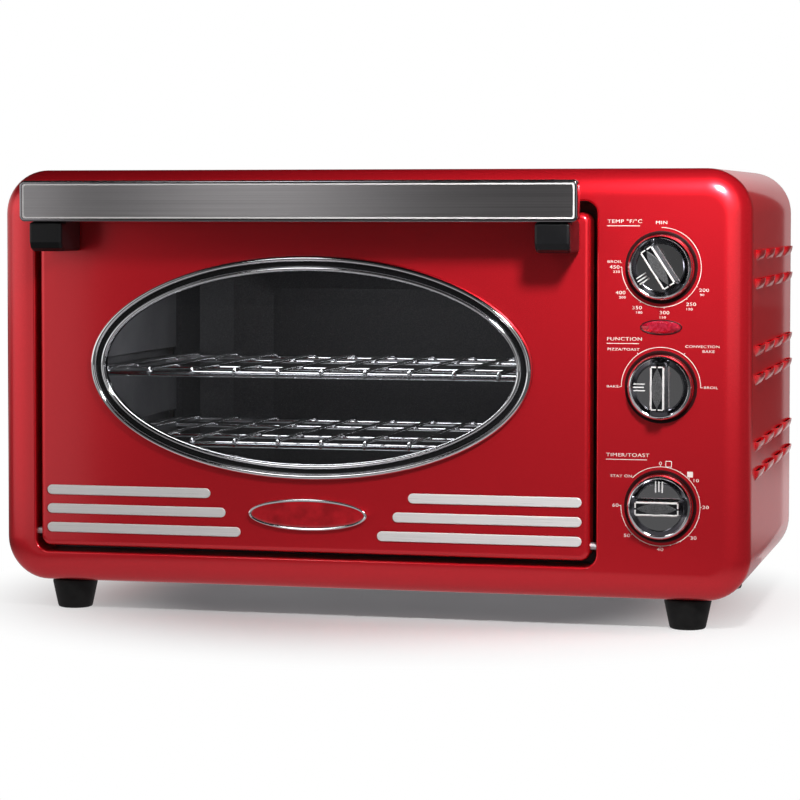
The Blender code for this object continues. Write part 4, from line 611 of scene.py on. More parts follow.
class Graph:
    """A node tree, with short ways to add the nodes that this scene needs."""

    def __init__(self, tree):
        self.tree = tree

    def add(self, kind, **values):
        """A new node, with values for its sockets by name."""
        node = self.tree.nodes.new(f"ShaderNode{kind}")
        for socket, value in values.items():
            node.inputs[socket.replace("_", " ")].default_value = value
        return node

    def link(self, output, socket):
        """Join an output to a socket."""
        self.tree.links.new(output, socket)

    def spread(self, value, start, finish, low, high, kind="LINEAR"):
        """A value with the range from start to finish carried over to low and high."""
        node = self.add("MapRange", From_Min=start, From_Max=finish, To_Min=low, To_Max=high)
        node.interpolation_type = kind
        self.link(value, node.inputs["Value"])
        return node.outputs["Result"]

    def combine(self, operation, first, second):
        """The outcome of a sum on two values."""
        node = self.add("Math")
        node.operation = operation
        self.link(first, node.inputs[0])
        self.link(second, node.inputs[1])
        return node.outputs["Value"]

    def mix(self, share, first, second):
        """One surface giving way to another as a share goes from 0 to 1."""
        node = self.add("MixShader")
        self.link(share, node.inputs["Fac"])
        self.link(first, node.inputs[1])
        self.link(second, node.inputs[2])
        return node.outputs["Shader"]

    def noise(self, scale, detail, stretch=None, distortion=0.0):
        """Noise over the object, its scales in cycles a metre."""
        place = self.add("TexCoord").outputs["Object"]
        if stretch:
            mapping = self.add("Mapping", Scale=stretch)
            self.link(place, mapping.inputs["Vector"])
            place = mapping.outputs["Vector"]
        node = self.add("TexNoise", Scale=scale, Detail=detail, Distortion=distortion)
        self.link(place, node.inputs["Vector"])
        return node.outputs["Fac"]


def look(name, colour, roughness, metallic=0.0, sockets=None, ramp=None, vary=None, bump=None):
    """A Principled material whose colour, roughness and relief follow noise.

    Ramp is (noise, (level, colour) stops), vary is (noise, least and most roughness), and
    bump is (noise, strength, depth). Each noise is what Graph.noise takes.
    """
    material = bpy.data.materials.new(name)
    material.use_nodes = True
    graph = Graph(material.node_tree)
    inputs = material.node_tree.nodes["Principled BSDF"].inputs
    even = {"Base Color": (*colour, 1.0), "Roughness": roughness, "Metallic": metallic}
    even.update(sockets or {})
    for socket, value in even.items():
        inputs[socket].default_value = value
    if ramp:
        noise, stops = ramp
        node = graph.add("ValToRGB")
        points = node.color_ramp.elements
        for _ in stops[2:]:
            points.new(0.5)
        for point, (level, shade) in zip(points, stops):
            point.position = level
            point.color = (*shade, 1.0)
        graph.link(graph.noise(*noise), node.inputs["Fac"])
        graph.link(node.outputs["Color"], inputs["Base Color"])
    if vary:
        noise, least, most = vary
        rough = graph.spread(graph.noise(*noise), *NOISE_RANGE, least, most)
        graph.link(rough, inputs["Roughness"])
    if bump:
        noise, strength, depth = bump
        node = graph.add("Bump", Strength=strength, Distance=depth)
        graph.link(graph.noise(*noise), node.inputs["Height"])
        graph.link(node.outputs["Normal"], inputs["Normal"])
    return material


# Metallic red under a clear coat, with fine flake and a faint orange peel
FLAKE = (2600.0, 2.0)
RED = look(
    "candy_red", (0.86, 0.015, 0.028), 0.34, 0.70,
    {"Coat Weight": 1.0, "Coat Roughness": 0.15, "Specular Tint": (1.0, 0.2, 0.25, 1.0)},
    ramp=(FLAKE, (
        (0.30, (0.77, 0.011, 0.021)), (0.52, (0.87, 0.015, 0.028)), (0.72, (0.98, 0.022, 0.038)),
    )),
    vary=(FLAKE, 0.33, 0.35),
    bump=(FLAKE, 0.05, 0.00001),
)

# The casing's baked paint, close to the front's but with less metal in it
PAINT_GRAIN = (2200.0, 2.0)
CASING_RED = look(
    "casing_red", (0.78, 0.010, 0.020), 0.34, 0.25,
    {
        "Coat Weight": 0.6, "Coat Roughness": 0.07,
        "Specular Tint": (1.0, 0.02, 0.05, 1.0), "Specular IOR Level": 0.1,
    },
    ramp=(PAINT_GRAIN, ((0.30, (0.68, 0.006, 0.012)), (0.70, (0.88, 0.011, 0.020)))),
    vary=(PAINT_GRAIN, 0.33, 0.35),
    bump=(PAINT_GRAIN, 0.06, 0.00001),
)

# Bright plating, with haze that comes and goes
CHROME = look(
    "chrome_plate", (0.80, 0.80, 0.82), 0.06, 1.0,
    vary=((60.0, 4.0), 0.045, 0.10),
    bump=((420.0, 1.0), 0.04, 0.00002),
)

# Darker plating on the handle's frame
SMOKED_CHROME = look(
    "smoked_chrome", (0.30, 0.285, 0.30), 0.16, 1.0,
    vary=((70.0, 4.0), 0.13, 0.21),
    bump=((500.0, 1.0), 0.05, 0.00002),
)

# Smoked plating on the knobs' faces
DARK_CHROME = look(
    "dark_chrome", (0.14, 0.14, 0.155), 0.13, 1.0,
    vary=((90.0, 4.0), 0.10, 0.18),
    bump=((600.0, 1.0), 0.05, 0.00002),
)

# Speckled grey lacquer on the grips' tops
INLAY = look(
    "grip_inlay", (0.09, 0.09, 0.093), 0.35, 0.3,
    ramp=((3200.0, 2.0), ((0.35, (0.03, 0.03, 0.031)), (0.65, (0.17, 0.17, 0.175)))),
)

# Steel brushed lengthways, as on the handle's front
BRUSH_LINES = (1.0, 6.0, (5.0, 600.0, 3600.0))
BRUSHED = look(
    "brushed_plate", (0.46, 0.445, 0.45), 0.36, 1.0,
    {"Anisotropic": 0.95, "Anisotropic Rotation": 0.25},
    ramp=(BRUSH_LINES, (
        (0.30, (0.42, 0.40, 0.41)), (0.50, (0.51, 0.49, 0.50)), (0.72, (0.63, 0.61, 0.615)),
    )),
    vary=(BRUSH_LINES, 0.34, 0.40),
    bump=(BRUSH_LINES, 0.12, 0.00002),
)

# The stripes' satin plating with a fine lengthways grain, also on the lines painted as highlights
# along the knobs' grips
SATIN_GRAIN = (1.0, 5.0, (30.0, 400.0, 3400.0))
SILVER = look(
    "satin_silver", (0.93, 0.91, 0.90), 0.34, 0.20,
    ramp=(SATIN_GRAIN, ((0.30, (0.88, 0.86, 0.85)), (0.70, (0.98, 0.95, 0.94)))),
    vary=(SATIN_GRAIN, 0.27, 0.33),
    bump=(SATIN_GRAIN, 0.06, 0.00002),
)

# Zinc plate with its cloudy spangle
ZINC = look(
    "zinc_steel", (0.50, 0.51, 0.52), 0.40, 0.9,
    ramp=((70.0, 5.0, None, 0.6), ((0.30, (0.40, 0.41, 0.42)), (0.70, (0.60, 0.61, 0.62)))),
    vary=((30.0, 3.0), 0.34, 0.48),
    bump=((500.0, 2.0), 0.08, 0.00003),
)

# The cavity's grey coating, cooked a little uneven
CAVITY = look(
    "cavity_steel", (0.20, 0.20, 0.21), 0.42, 0.5,
    ramp=((14.0, 5.0), ((0.30, (0.15, 0.15, 0.158)), (0.70, (0.25, 0.25, 0.262)))),
    vary=((40.0, 4.0), 0.36, 0.50),
    bump=((900.0, 2.0), 0.15, 0.00004),
)

# Near-black speckled enamel at the back of the cavity and on the door's liner, and round the
# cavity's mouth, where its near-black is painted shade in the gap round the door
ENAMEL = look(
    "dark_enamel", (0.03, 0.03, 0.032), 0.35, 0.2,
    ramp=((1500.0, 2.0), ((0.42, (0.022, 0.022, 0.024)), (0.75, (0.075, 0.075, 0.08)))),
    bump=((700.0, 2.0), 0.12, 0.00004),
)

# Moulded black plastic with a fine satin grain
PLASTIC = look(
    "black_plastic", (0.008, 0.008, 0.009), 0.38, 0.0, {"Specular IOR Level": 0.3},
    vary=((50.0, 3.0), 0.28, 0.40),
    bump=((1800.0, 2.0), 0.10, 0.00003),
)

# Polished black for the window's seat
GLOSS_BLACK = look(
    "gloss_black", (0.006, 0.006, 0.007), 0.08, 0.0,
    {"Coat Weight": 0.6, "Coat Roughness": 0.04},
    vary=((40.0, 3.0), 0.06, 0.12),
)

# Near-black red, painted as the shade in the dials' recesses and round the pilot lens
SHADE_MAROON = look(
    "painted_shade_maroon", (0.030, 0.002, 0.003), 0.35, 0.0, {"Specular IOR Level": 0.3},
    ramp=((1400.0, 2.0), ((0.35, (0.022, 0.002, 0.003)), (0.65, (0.040, 0.003, 0.004)))),
)

# Matt rubber, a little dusty
RUBBER = look(
    "foot_rubber", (0.008, 0.008, 0.008), 0.60, 0.0, {"Specular IOR Level": 0.25},
    ramp=((160.0, 5.0), ((0.35, (0.005, 0.005, 0.005)), (0.75, (0.013, 0.013, 0.0125)))),
    bump=((1200.0, 2.0), 0.20, 0.00005),
)

# The window's lightly smoked pane
GLASS = look(
    "smoked_glass", (0.62, 0.63, 0.65), 0.0, 0.0, {"Transmission Weight": 1.0, "IOR": 1.45},
    vary=((22.0, 3.0), 0.0, 0.012),
)

# The pilot lamp's clear red lens
RUBY = look(
    "ruby_plastic", (0.80, 0.015, 0.06), 0.05, 0.0,
    {"Transmission Weight": 0.6, "IOR": 1.5, "Coat Weight": 0.5},
    ramp=((420.0, 2.0), ((0.35, (0.62, 0.008, 0.04)), (0.65, (0.92, 0.05, 0.12)))),
    bump=((260.0, 1.0), 0.12, 0.0001),
)

# Deep red enamel on the oval plate
BADGE_RED = look(
    "red_enamel", (0.50, 0.006, 0.014), 0.12, 0.1, {"Coat Weight": 1.0, "Coat Roughness": 0.02},
    ramp=((120.0, 4.0), ((0.35, (0.40, 0.004, 0.010)), (0.65, (0.60, 0.009, 0.018)))),
)

# Pale print on the panel
INK = look(
    "print_ink", (1.0, 0.80, 0.76), 0.50,
    ramp=((1500.0, 2.0), ((0.35, (0.96, 0.72, 0.68)), (0.65, (1.0, 0.88, 0.84)))),
)

# The rods' sheath, greyed by heat, with straw and blue in patches
HEATER = look(
    "heater_steel", (0.22, 0.21, 0.21), 0.38, 0.9,
    ramp=((26.0, 5.0), (
        (0.30, (0.13, 0.13, 0.14)), (0.55, (0.24, 0.23, 0.23)), (0.78, (0.30, 0.25, 0.20)),
    )),
    bump=((800.0, 2.0), 0.12, 0.00003),
)

# The lamp's glass, a little warm
LAMP = look(
    "clear_lamp", (0.95, 0.80, 0.68), 0.04, 0.0, {"Transmission Weight": 0.9, "IOR": 1.45},
    vary=((300.0, 2.0), 0.03, 0.07),
)


# Casing


def make_bezel():
    """The front moulding, with a rounded lip at the door's opening and a recess at each dial."""
    rolls = (BEZEL_ROLL_WIDTH, BEZEL_ROLL_WIDTH, BEZEL_ROLL_WIDTH)
    rim = FACE + BEZEL_DEPTH
    rings = pan_rings(BODY_BOX, CORNER_RADIUS, rolls, rim, FACE, BEZEL_ROLL_DEPTH, BEZEL_WALL)
    bezel = rough_piece("bezel_moulding", rings)
    mouth = rounded_outline(grow_box(OPENING_BOX, OPENING_FLARE), OPENING_RADIUS + OPENING_FLARE)
    recess = (
        (DIAL_RECESS_RADIUS, -OVERRUN),
        (DIAL_RECESS_RADIUS, DIAL_RECESS),
        (SHAFT_HOLE_RADIUS, DIAL_RECESS),
        (SHAFT_HOLE_RADIUS, BEZEL_WALL + OVERRUN),
    )
    holes = [prism(mouth, FACE - OVERRUN, FACE + BEZEL_WALL + OVERRUN)]
    holes.extend(turned_rings(recess, place) for place in DIAL_PLACES.values())
    cut(bezel, holes)
    dress(bezel, RED, "housing", "front_bezel")
    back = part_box("front_bezel")[1].y
    sleeve = []
    for come, left in quarter_turn(FLARE_STEPS):
        flare = OPENING_FLARE * left
        outline = rounded_outline(grow_box(OPENING_BOX, flare), OPENING_RADIUS + flare)
        sleeve.append(ring_at(outline, FACE + OPENING_FLARE * come))
    sleeve.append(ring_at(rounded_outline(OPENING_BOX, OPENING_RADIUS), back))
    outer = rounded_outline(grow_box(OPENING_BOX, SLEEVE_WALL), OPENING_RADIUS + SLEEVE_WALL)
    sleeve.append(ring_at(outer, back))
    sleeve.append(ring_at(outer, FACE + BEZEL_WALL / 2))
    piece("door_opening_sleeve", [(sleeve, True)], RED, "housing")


def louvre_places():
    """Y and foot height of every louvre on one side."""
    middle = BODY_BOX[2] + LOUVRE_MIDDLE_RISE
    for pair in range(LOUVRE_PAIRS):
        pair_z = middle + (pair - (LOUVRE_PAIRS - 1) / 2) * LOUVRE_PAIR_PITCH
        for row in (-1, 1):
            foot = pair_z + row * LOUVRE_ROW_GAP / 2 - LOUVRE_HEIGHT / 2
            for column in range(LOUVRE_COLUMNS):
                yield FACE + LOUVRE_FIRST_DEPTH + column * LOUVRE_PITCH, foot


def louvre_hood(side, y, foot):
    """One pressed hood, closed below and at its ends and open above."""
    rings = []
    base = BODY_BOX[1] - FIT
    for station in range(HOOD_STATIONS + 1):
        share = 2 * station / HOOD_STATIONS - 1
        bulge = LOUVRE_BULGE * (1 - share ** HOOD_END_POWER) ** 0.5
        section = []
        for rise in range(HOOD_RISES + 1):
            up = rise / HOOD_RISES
            proud = bulge * sin(up * pi / 2) ** HOOD_FULLNESS
            section.append((base + proud, foot + LOUVRE_HEIGHT * up))
        section.append((base + bulge - LOUVRE_SHEET, foot + LOUVRE_HEIGHT))
        section.append((base - LOUVRE_SHEET, foot + LOUVRE_SHEET))
        along = y + share * LOUVRE_LENGTH / 2
        rings.append([Vector((side * x, along, z)) for x, z in section])
    return rings


def make_wrap():
    """The casing sheet with its louvres, each hood over its own slot."""
    low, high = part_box("housing_wrap")
    outer = rounded_outline(BODY_BOX, CORNER_RADIUS)
    inner = rounded_outline(grow_box(BODY_BOX, -CASING_SHEET), CORNER_RADIUS - CASING_SHEET)
    left, right, under = BODY_BOX[0] + UNDER_FLANGE, BODY_BOX[1] - UNDER_FLANGE, BODY_BOX[2]
    outline = [(right, under), *outer, (left, under), (left, under + CASING_SHEET)]
    outline.extend(reversed(inner))
    outline.append((right, under + CASING_SHEET))
    wrap = rough_piece("casing_wrap", prism(outline, low.y, high.y))
    slots = []
    hoods = []
    half = LOUVRE_LENGTH / 2 - LOUVRE_SLOT_SIDE
    for side in (-1, 1):
        steps = (OVERRUN, -CASING_SHEET - OVERRUN)
        edges = sorted(side * (BODY_BOX[1] + step) for step in steps)
        for y, foot in louvre_places():
            head = foot + LOUVRE_HEIGHT - FIT
            slots.append(block((*edges, foot + LOUVRE_SLOT_FOOT, head), y - half, y + half))
            hoods.append(louvre_hood(side, y, foot))
    cut(wrap, slots)
    dress(wrap, CASING_RED, "housing", "housing_wrap")
    piece("louvre_hoods", hoods, CASING_RED, "housing", sharp=SHARP_PRESSED)


def make_back_cover():
    """The rear pan with its rounded bulge, air slots and the gland's bore."""
    low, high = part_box("back_cover")
    rim, top = low.y, high.y
    face = rim + CASING_SHEET
    bulge = grow_box(node_box("cavity_back"), BULGE_MARGIN)
    outer = rolled_rings(bulge, BULGE_RADIUS, BULGE_SLOPES, face, top, top - face)
    inner_top = top - CASING_SHEET
    inner = rolled_rings(
        grow_box(bulge, -CASING_SHEET),
        BULGE_RADIUS - CASING_SHEET,
        BULGE_SLOPES,
        rim,
        inner_top,
        inner_top - face,
    )
    plate = rounded_outline(BODY_BOX, CORNER_RADIUS)
    cover = rough_piece("rear_pan", list(reversed(inner)) + prism(plate, rim, face) + outer)
    holes = []
    x = (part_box("cavity_right_wall")[0].x + BODY_BOX[1]) / 2
    for slot in range(REAR_SLOTS):
        z = BODY_BOX[2] + REAR_SLOT_RISE + slot * REAR_SLOT_PITCH
        outline = slot_outline(centred_box(x, z, REAR_SLOT_WIDTH, REAR_SLOT_HEIGHT))
        holes.append(prism(outline, rim - OVERRUN, face + OVERRUN))
    gland_low, gland_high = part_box("cord_gland")
    gland = (gland_low + gland_high) / 2
    bore = (gland_high.x - gland_low.x) / 2 - GLAND_WALL
    ends = (rim - gland.y - OVERRUN, face - gland.y + OVERRUN)
    holes.append(turned_rings([(bore, end) for end in ends], gland))
    cut(cover, holes)
    dress(cover, ZINC, "housing", "back_cover")


def make_feet():
    """Tapered feet with rounded edges and a screw's recess in the sole."""
    for end in ("front", "rear"):
        for hand in ("left", "right"):
            node = f"foot_{end}_{hand}"
            low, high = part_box(node)
            centre = Vector(((low.x + high.x) / 2, (low.y + high.y) / 2, 0.0))
            wide = (high.x - low.x) / 2
            sole = wide - FOOT_TAPER
            profile = [(FOOT_HOLE_RADIUS, FOOT_HOLE_DEPTH), (FOOT_HOLE_RADIUS, 0.0)]
            profile += [(sole - inset, rise) for inset, rise in FOOT_SOLE]
            profile += [(wide - inset, high.z - drop) for inset, drop in FOOT_TOP]
            rings = turned_rings(profile, centre, upright=True)
            piece(f"{node}_pad", [rings], RUBBER, "housing", node)


# Door


def stripe_nodes():
    """The six stripes' node names."""
    return [f"stripe_{hand}_{row}" for hand in ("left", "right") for row in (1, 2, 3)]


def make_door():
    """The door's skin, with the window's hole and a groove for each stripe."""
    rolls = (DOOR_ROLL, DOOR_ROLL, DOOR_ROLL)
    rim = DOOR_FACE + DOOR_SKIN_DEPTH
    rings = pan_rings(DOOR_BOX, DOOR_RADIUS, rolls, rim, DOOR_FACE, DOOR_ROLL, DOOR_SKIN)
    skin = rough_piece("door_skin", rings)
    half_width = WINDOW_WIDTH / 2 + RING_NECK + FIT
    half_height = WINDOW_HEIGHT / 2 + RING_NECK + FIT
    hole = oval_outline(WINDOW_X, WINDOW_Z, half_width, half_height)
    cut(skin, [prism(hole, DOOR_FACE - OVERRUN, DOOR_FACE + DOOR_SKIN + OVERRUN)])
    grooves = []
    for node in stripe_nodes():
        outline = slot_outline(grow_box(node_box(node), GROOVE_MARGIN))
        grooves.append(prism(outline, DOOR_FACE - OVERRUN, DOOR_FACE + GROOVE_DEPTH))
    cut(skin, grooves)
    dress(skin, RED, "door", "door_panel")


def make_stripes():
    """Crowned bars, set in the door's grooves."""
    for node in stripe_nodes():
        box = node_box(node)
        low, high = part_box(node)
        rings = [ring_at(slot_outline(box), high.y)]
        for come, left in quarter_turn(STRIPE_STEPS):
            outline = slot_outline(grow_box(box, -STRIPE_CROWN * come))
            rings.append(ring_at(outline, low.y + STRIPE_CROWN * left))
        piece(f"{node}_bar", [rings], SILVER, "door", node, SHARP_BAR)


def make_window_ring():
    """The black seat and the two bright beads on it."""
    low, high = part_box("window_seat_ring")
    front, neck_back = low.y, high.y
    back = front + RING_BASE
    section = (
        (0.0, neck_back),
        (0.0, front + FIT),
        (FIT, front),
        (RING_WIDTH - FIT, front),
        (RING_WIDTH, front + FIT),
        (RING_WIDTH, back),
        (RING_NECK, back),
        (RING_NECK, neck_back),
    )
    seat = oval_ring(section)
    piece("window_seat", [seat], GLOSS_BLACK, "door", "window_seat_ring")
    outer_start = RING_WIDTH - OUTER_BEAD_WIDTH
    beads = (("inner", 0.0, INNER_BEAD_WIDTH), ("outer", outer_start, OUTER_BEAD_WIDTH))
    for name, start, width in beads:
        node = f"window_{name}_bead"
        ring = oval_ring(bead_section(start, width, node))
        piece(f"{name}_bead", [ring], CHROME, "door", node, SHARP_BEAD)


def make_badge():
    """The oval plate: a bright rim round a red field, with nothing on it."""
    low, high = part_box("badge_plate")
    x, z, half_width, half_height = oval_of("badge_plate")

    def oval(inset, y):
        return ring_at(oval_outline(x, z, half_width - inset, half_height - inset), y)

    rim = [oval(0.0, high.y)]
    for come, left in quarter_turn(BADGE_STEPS):
        rim.append(oval(BADGE_RIM / 2 * come, low.y + BADGE_RIM / 2 * left))
    dish = low.y + BADGE_DISH
    rim.append(oval(BADGE_RIM, dish))
    piece("badge_rim", [rim], CHROME, "door", "badge_plate", SHARP_PRESSED)
    field = [oval(BADGE_RIM, dish + FIT), oval(BADGE_RIM, dish - FIT / 2)]
    field.append(oval(BADGE_RIM * 2, low.y + FIT / 2))
    piece("badge_field", [field], BADGE_RED, "door", sharp=SHARP_WIRE)


# Handle


def make_handle():
    """The dark frame, with a pale line round the brushed plate that is let into its front."""
    low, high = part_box("handle_frame")
    box = node_box("handle_frame")
    roll = quarter_turn(HANDLE_ROLL_STEPS)
    levels = [(HANDLE_ROLL * left, high.y - HANDLE_ROLL * come) for come, left in roll]
    levels += [(HANDLE_ROLL * come, low.y + HANDLE_ROLL * left) for come, left in roll]
    rings = []
    for inset, y in levels:
        rings.append(ring_at(rounded_outline(grow_box(box, -inset), HANDLE_RADIUS - inset), y))
    bar = rough_piece("handle_bar", rings)
    pocket = grow_box(box, -HANDLE_RIM)
    radius = HANDLE_RADIUS - HANDLE_RIM
    plate_low, plate_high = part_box("handle_plate")
    cut(bar, [prism(rounded_outline(pocket, radius), low.y - OVERRUN, plate_high.y + FIT)])
    dress(bar, SMOKED_CHROME, "door", "handle_frame")
    outer = rounded_outline(grow_box(pocket, -FIT / 2), radius - FIT / 2)
    inner = rounded_outline(grow_box(pocket, -HANDLE_LINE), radius)
    line = prism(outer, plate_high.y, low.y + FIT) + prism(inner, low.y + FIT, plate_high.y)
    piece("handle_line", [(line, True)], SILVER, "door")
    plate = rounded_outline(grow_box(pocket, -HANDLE_LINE - FIT / 2), radius - FIT)
    rings = prism(plate, plate_low.y, plate_high.y)
    piece("handle_face", [rings], BRUSHED, "door", "handle_plate")


# Dials


def bearing(angle):
    """Directions along and across a bearing on the panel, in degrees clockwise from up."""
    turn = radians(angle)
    return Vector((sin(turn), 0.0, cos(turn))), Vector((cos(turn), 0.0, -sin(turn)))


def dial_point(name, across, up, height):
    """A point on a dial: across and up from its pointer's line, and out from the panel."""
    out, side = bearing(KNOB_TURNS[name])
    return DIAL_PLACES[name] + side * across + out * up - Vector((0.0, height, 0.0))


def dial_rings(name, rows):
    """Rings from (outline, height) rows on a dial."""
    rings = []
    for outline, height in rows:
        rings.append([dial_point(name, across, up, height) for across, up in outline])
    return rings


def lens_outline(half_length, half_width):
    """A pointed oval, its long way across."""
    radius = (half_length ** 2 + half_width ** 2) / (2 * half_width)
    points = []
    for hand in (1, -1):
        for step in range(INLAY_STEPS):
            across = hand * half_length * (1 - 2 * step / INLAY_STEPS)
            up = (radius ** 2 - across ** 2) ** 0.5 - radius + half_width
            points.append((across, hand * up))
    return points


def grip_highlight_lines(name, tip):
    """Bright lines painted as highlights along the sides and ends of a grip's top."""
    edges = []
    for hand in (-1, 1):
        path = []
        for step in range(EDGE_STEPS + 1):
            across = (2 * step / EDGE_STEPS - 1) * EDGE_REACH
            path.append(dial_point(name, across, hand * EDGE_SIDE, tip - EDGE_RADIUS))
        edges.append(tube_rings(path, EDGE_RADIUS, sides=EDGE_SIDES))
        for end in (-1, 1):
            across = end * END_REACH
            path = [dial_point(name, across, hand * up, tip - END_DROP) for up in END_SPAN]
            edges.append(tube_rings(path, END_RADIUS, sides=THIN_WIRE))
    return edges


def make_knob(name):
    """A plated knob: bevelled rim, skirt, dished face, grip with a lacquered top, and pointer."""
    node = f"{name}_knob"
    body = f"{name}_dial"
    low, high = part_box(node)
    back, tip = FACE - high.y, FACE - low.y
    radius = (high.z - low.z) / 2
    rim = radius - KNOB_RIM_WIDTH
    face = back + KNOB_FACE_HEIGHT

    def turned(profile):
        pairs = [(reach, -height) for reach, height in profile]
        return turned_rings(pairs, DIAL_PLACES[name], sides=KNOB_SIDES)

    def pointer_line(across, inward, outward, thickness):
        ends = (rim - inward, rim + outward)
        path = [dial_point(name, across, up, face + POINTER_LIFT) for up in ends]
        return tube_rings(path, thickness, sides=THIN_WIRE)

    bevel = turned([(radius - inset, back + rise) for inset, rise in KNOB_BEVEL])
    piece(f"{node}_rim", [bevel], CHROME, body, node, SHARP_TURNED)
    skirt = turned([(radius - inset, back + rise) for inset, rise in KNOB_SKIRT])
    piece(f"{node}_skirt", [skirt], PLASTIC, body, sharp=SHARP_TURNED)
    disc = [(rim - DISC_GAP, back), (rim - DISC_GAP, face + DISC_LIP)]
    for step in range(DISC_STEPS):
        share = 1 - step / DISC_STEPS
        disc.append(((rim - DISC_EDGE) * share, face - KNOB_DISH * (1 - share ** 2)))
    piece(f"{node}_face", [turned(disc)], DARK_CHROME, body, sharp=SHARP_CRISP)
    foot = face - KNOB_DISH - FIT
    sizes = [(foot + rise, length, width) for rise, length, width in GRIP_FOOT]
    sizes += [(tip - drop, length, width) for drop, length, width in GRIP_TOP]
    rows = []
    for height, length, width in sizes:
        box = centred_box(0.0, 0.0, length, width)
        rows.append((rounded_outline(box, width * GRIP_CORNER_SHARE, SMALL_CORNER), height))
    grip = dial_rings(name, rows)
    piece(f"{node}_grip", [grip], DARK_CHROME, body, sharp=SHARP_CRISP)
    rows = [(lens_outline(length, width), tip - drop) for drop, length, width in INLAY_ROWS]
    inlay = dial_rings(name, rows)
    piece(f"{node}_inlay", [inlay], INLAY, body, sharp=SHARP_CRISP)
    # Silver lines painted as highlights along the grip's edges, then the pointer's two side lines
    lines = grip_highlight_lines(name, tip)
    for across in (-POINTER_PITCH, POINTER_PITCH):
        lines.append(pointer_line(across, *POINTER_SIDE_LINE))
    piece(f"{node}_lines", lines, SILVER, body, sharp=SHARP_WIRE)
    pointer = pointer_line(0.0, *POINTER_MIDDLE_LINE)
    piece(f"{node}_pointer", [pointer], SILVER, body, sharp=SHARP_WIRE)
    # A ring round the knob in its recess, its dark red painted as the recess's shade
    edge = DIAL_RECESS_RADIUS + SHADE_RING_WIDTH - FIT
    seat = (
        (radius + SHADE_RING_GAP, -FIT),
        (radius + SHADE_RING_GAP, 0.0),
        (DIAL_RECESS_RADIUS, SHADE_RING_RISE),
        (edge - FIT * 2, SHADE_RING_RISE),
        (edge, SHADE_RING_RISE / 2),
        (edge, -FIT),
    )
    loops = [list(loop) for loop in zip(*turned(seat))]
    piece(f"{name}_seat_ring", [(loops, True)], SHADE_MAROON, "housing", sharp=SHARP_WIRE)


def make_pilot():
    """The oval jewel lens, its crown cut in facets, in a thin rim whose dark red is painted shade.
    """
    low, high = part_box("pilot_lens")
    x, z, half_width, half_height = oval_of("pilot_lens")
    rings = []
    for inset, rise in PILOT_SIDE:
        outline = oval_outline(x, z, half_width - inset, half_height - inset, PILOT_FACETS)
        rings.append(ring_at(outline, FACE - FIT / 4 - rise))
    top = (half_width * PILOT_TOP_SHARE, half_height * PILOT_TOP_SHARE)
    rings.append(ring_at(oval_outline(x, z, *top, PILOT_FACETS), low.y))
    piece("pilot_jewel", [rings], RUBY, "housing", "pilot_lens", SHARP_FACETS)
    # The thin rim's dark red is painted shade round the lens
    across, up = PILOT_SHADE_RIM_SHARES
    outline = oval_outline(x, z, half_width * across, half_height * up, PILOT_SHADE_RIM_STEPS)
    rim = tube_rings(ring_at(outline, FACE - FIT), PILOT_SHADE_RIM_RADIUS, True, THIN_WIRE)
    piece("pilot_shade_rim", [(rim, True)], SHADE_MAROON, "housing", sharp=SHARP_WIRE)


# Print


def letters(text, x, z, size, align="CENTER"):
    """Mesh of a line of print about a point on the panel."""
    curve = bpy.data.curves.new("print", "FONT")
    curve.body = text
    curve.size = size
    curve.align_x = align
    curve.align_y = "CENTER"
    curve.space_character = LETTER_SPACING_SHARE
    curve.extrude = PRINT_SHEET
    line = add_object("print", curve)
    stretch = Matrix.Diagonal((LETTER_STRETCH_SHARE, 1.0, 1.0, 1.0))
    stand = Matrix.Rotation(pi / 2, 4, "X")
    place = Matrix.Translation((x, FACE - PRINT_LIFT, z))
    line.matrix_world = place @ stand @ stretch
    bpy.context.view_layer.update()
    graph = bpy.context.evaluated_depsgraph_get()
    data = bpy.data.meshes.new_from_object(line.evaluated_get(graph), depsgraph=graph)
    data.transform(line.matrix_world)
    bpy.data.objects.remove(line, do_unlink=True)
    return data


def print_section(middle, across):
    """The four corners of a printed line's section about a point."""
    corners = ((-0.5, 0.0), (0.5, 0.0), (0.5, PRINT_LIFT), (-0.5, PRINT_LIFT))
    points = []
    for share, lift in corners:
        points.append(middle + across * SCALE_LINE * share - Vector((0.0, lift + PRINT_BASE, 0.0)))
    return points


def arc_line(place, start, end):
    """A printed arc round a dial, its ends given as bearings."""
    steps = max(int(abs(end - start) / ARC_STEP), 1)
    rings = []
    for step in range(steps + 1):
        out, _ = bearing(start + (end - start) * step / steps)
        rings.append(print_section(place + out * SCALE_RADIUS, out))
    return rings


def tick(place, angle, length):
    """A short printed mark that runs out from a scale."""
    out, side = bearing(angle)
    reaches = (SCALE_RADIUS, SCALE_RADIUS + length)
    return [print_section(place + out * reach, side) for reach in reaches]


def bar_line(x, z, width, height):
    """A printed bar on the panel."""
    box = centred_box(x, z, width, height)
    return block(box, FACE - PRINT_LIFT - PRINT_BASE, FACE - PRINT_BASE)


def at_angle(place, angle, reach):
    """X and z at a bearing and a distance from a dial's middle."""
    point = place + bearing(angle)[0] * reach
    return point.x, point.z


def start_print(name):
    """A dial's place, and the lists of letters and shapes with its heading and its arc."""
    place = DIAL_PLACES[name]
    text, left, up, width = HEADINGS[name]
    x, z = place.x + left, place.z + up
    line = bar_line(x + width / 2, z - UNDERLINE_DROP, width, SCALE_LINE)
    texts = [letters(text, x, z, HEADING_SIZE, "LEFT")]
    return place, texts, [line, arc_line(place, *SCALE_ENDS[name])]


def print_piece(name, texts, shapes):
    """One piece of print from lines of letters and printed shapes."""
    shape = bmesh.new()
    for data in (*texts, fill_mesh("shapes", shapes)):
        shape.from_mesh(data)
        bpy.data.meshes.remove(data)
    data = bpy.data.meshes.new(name)
    shape.to_mesh(data)
    shape.free()
    item = add_object(name, data)
    dress(item, INK, "housing")
    item.modifiers.clear()


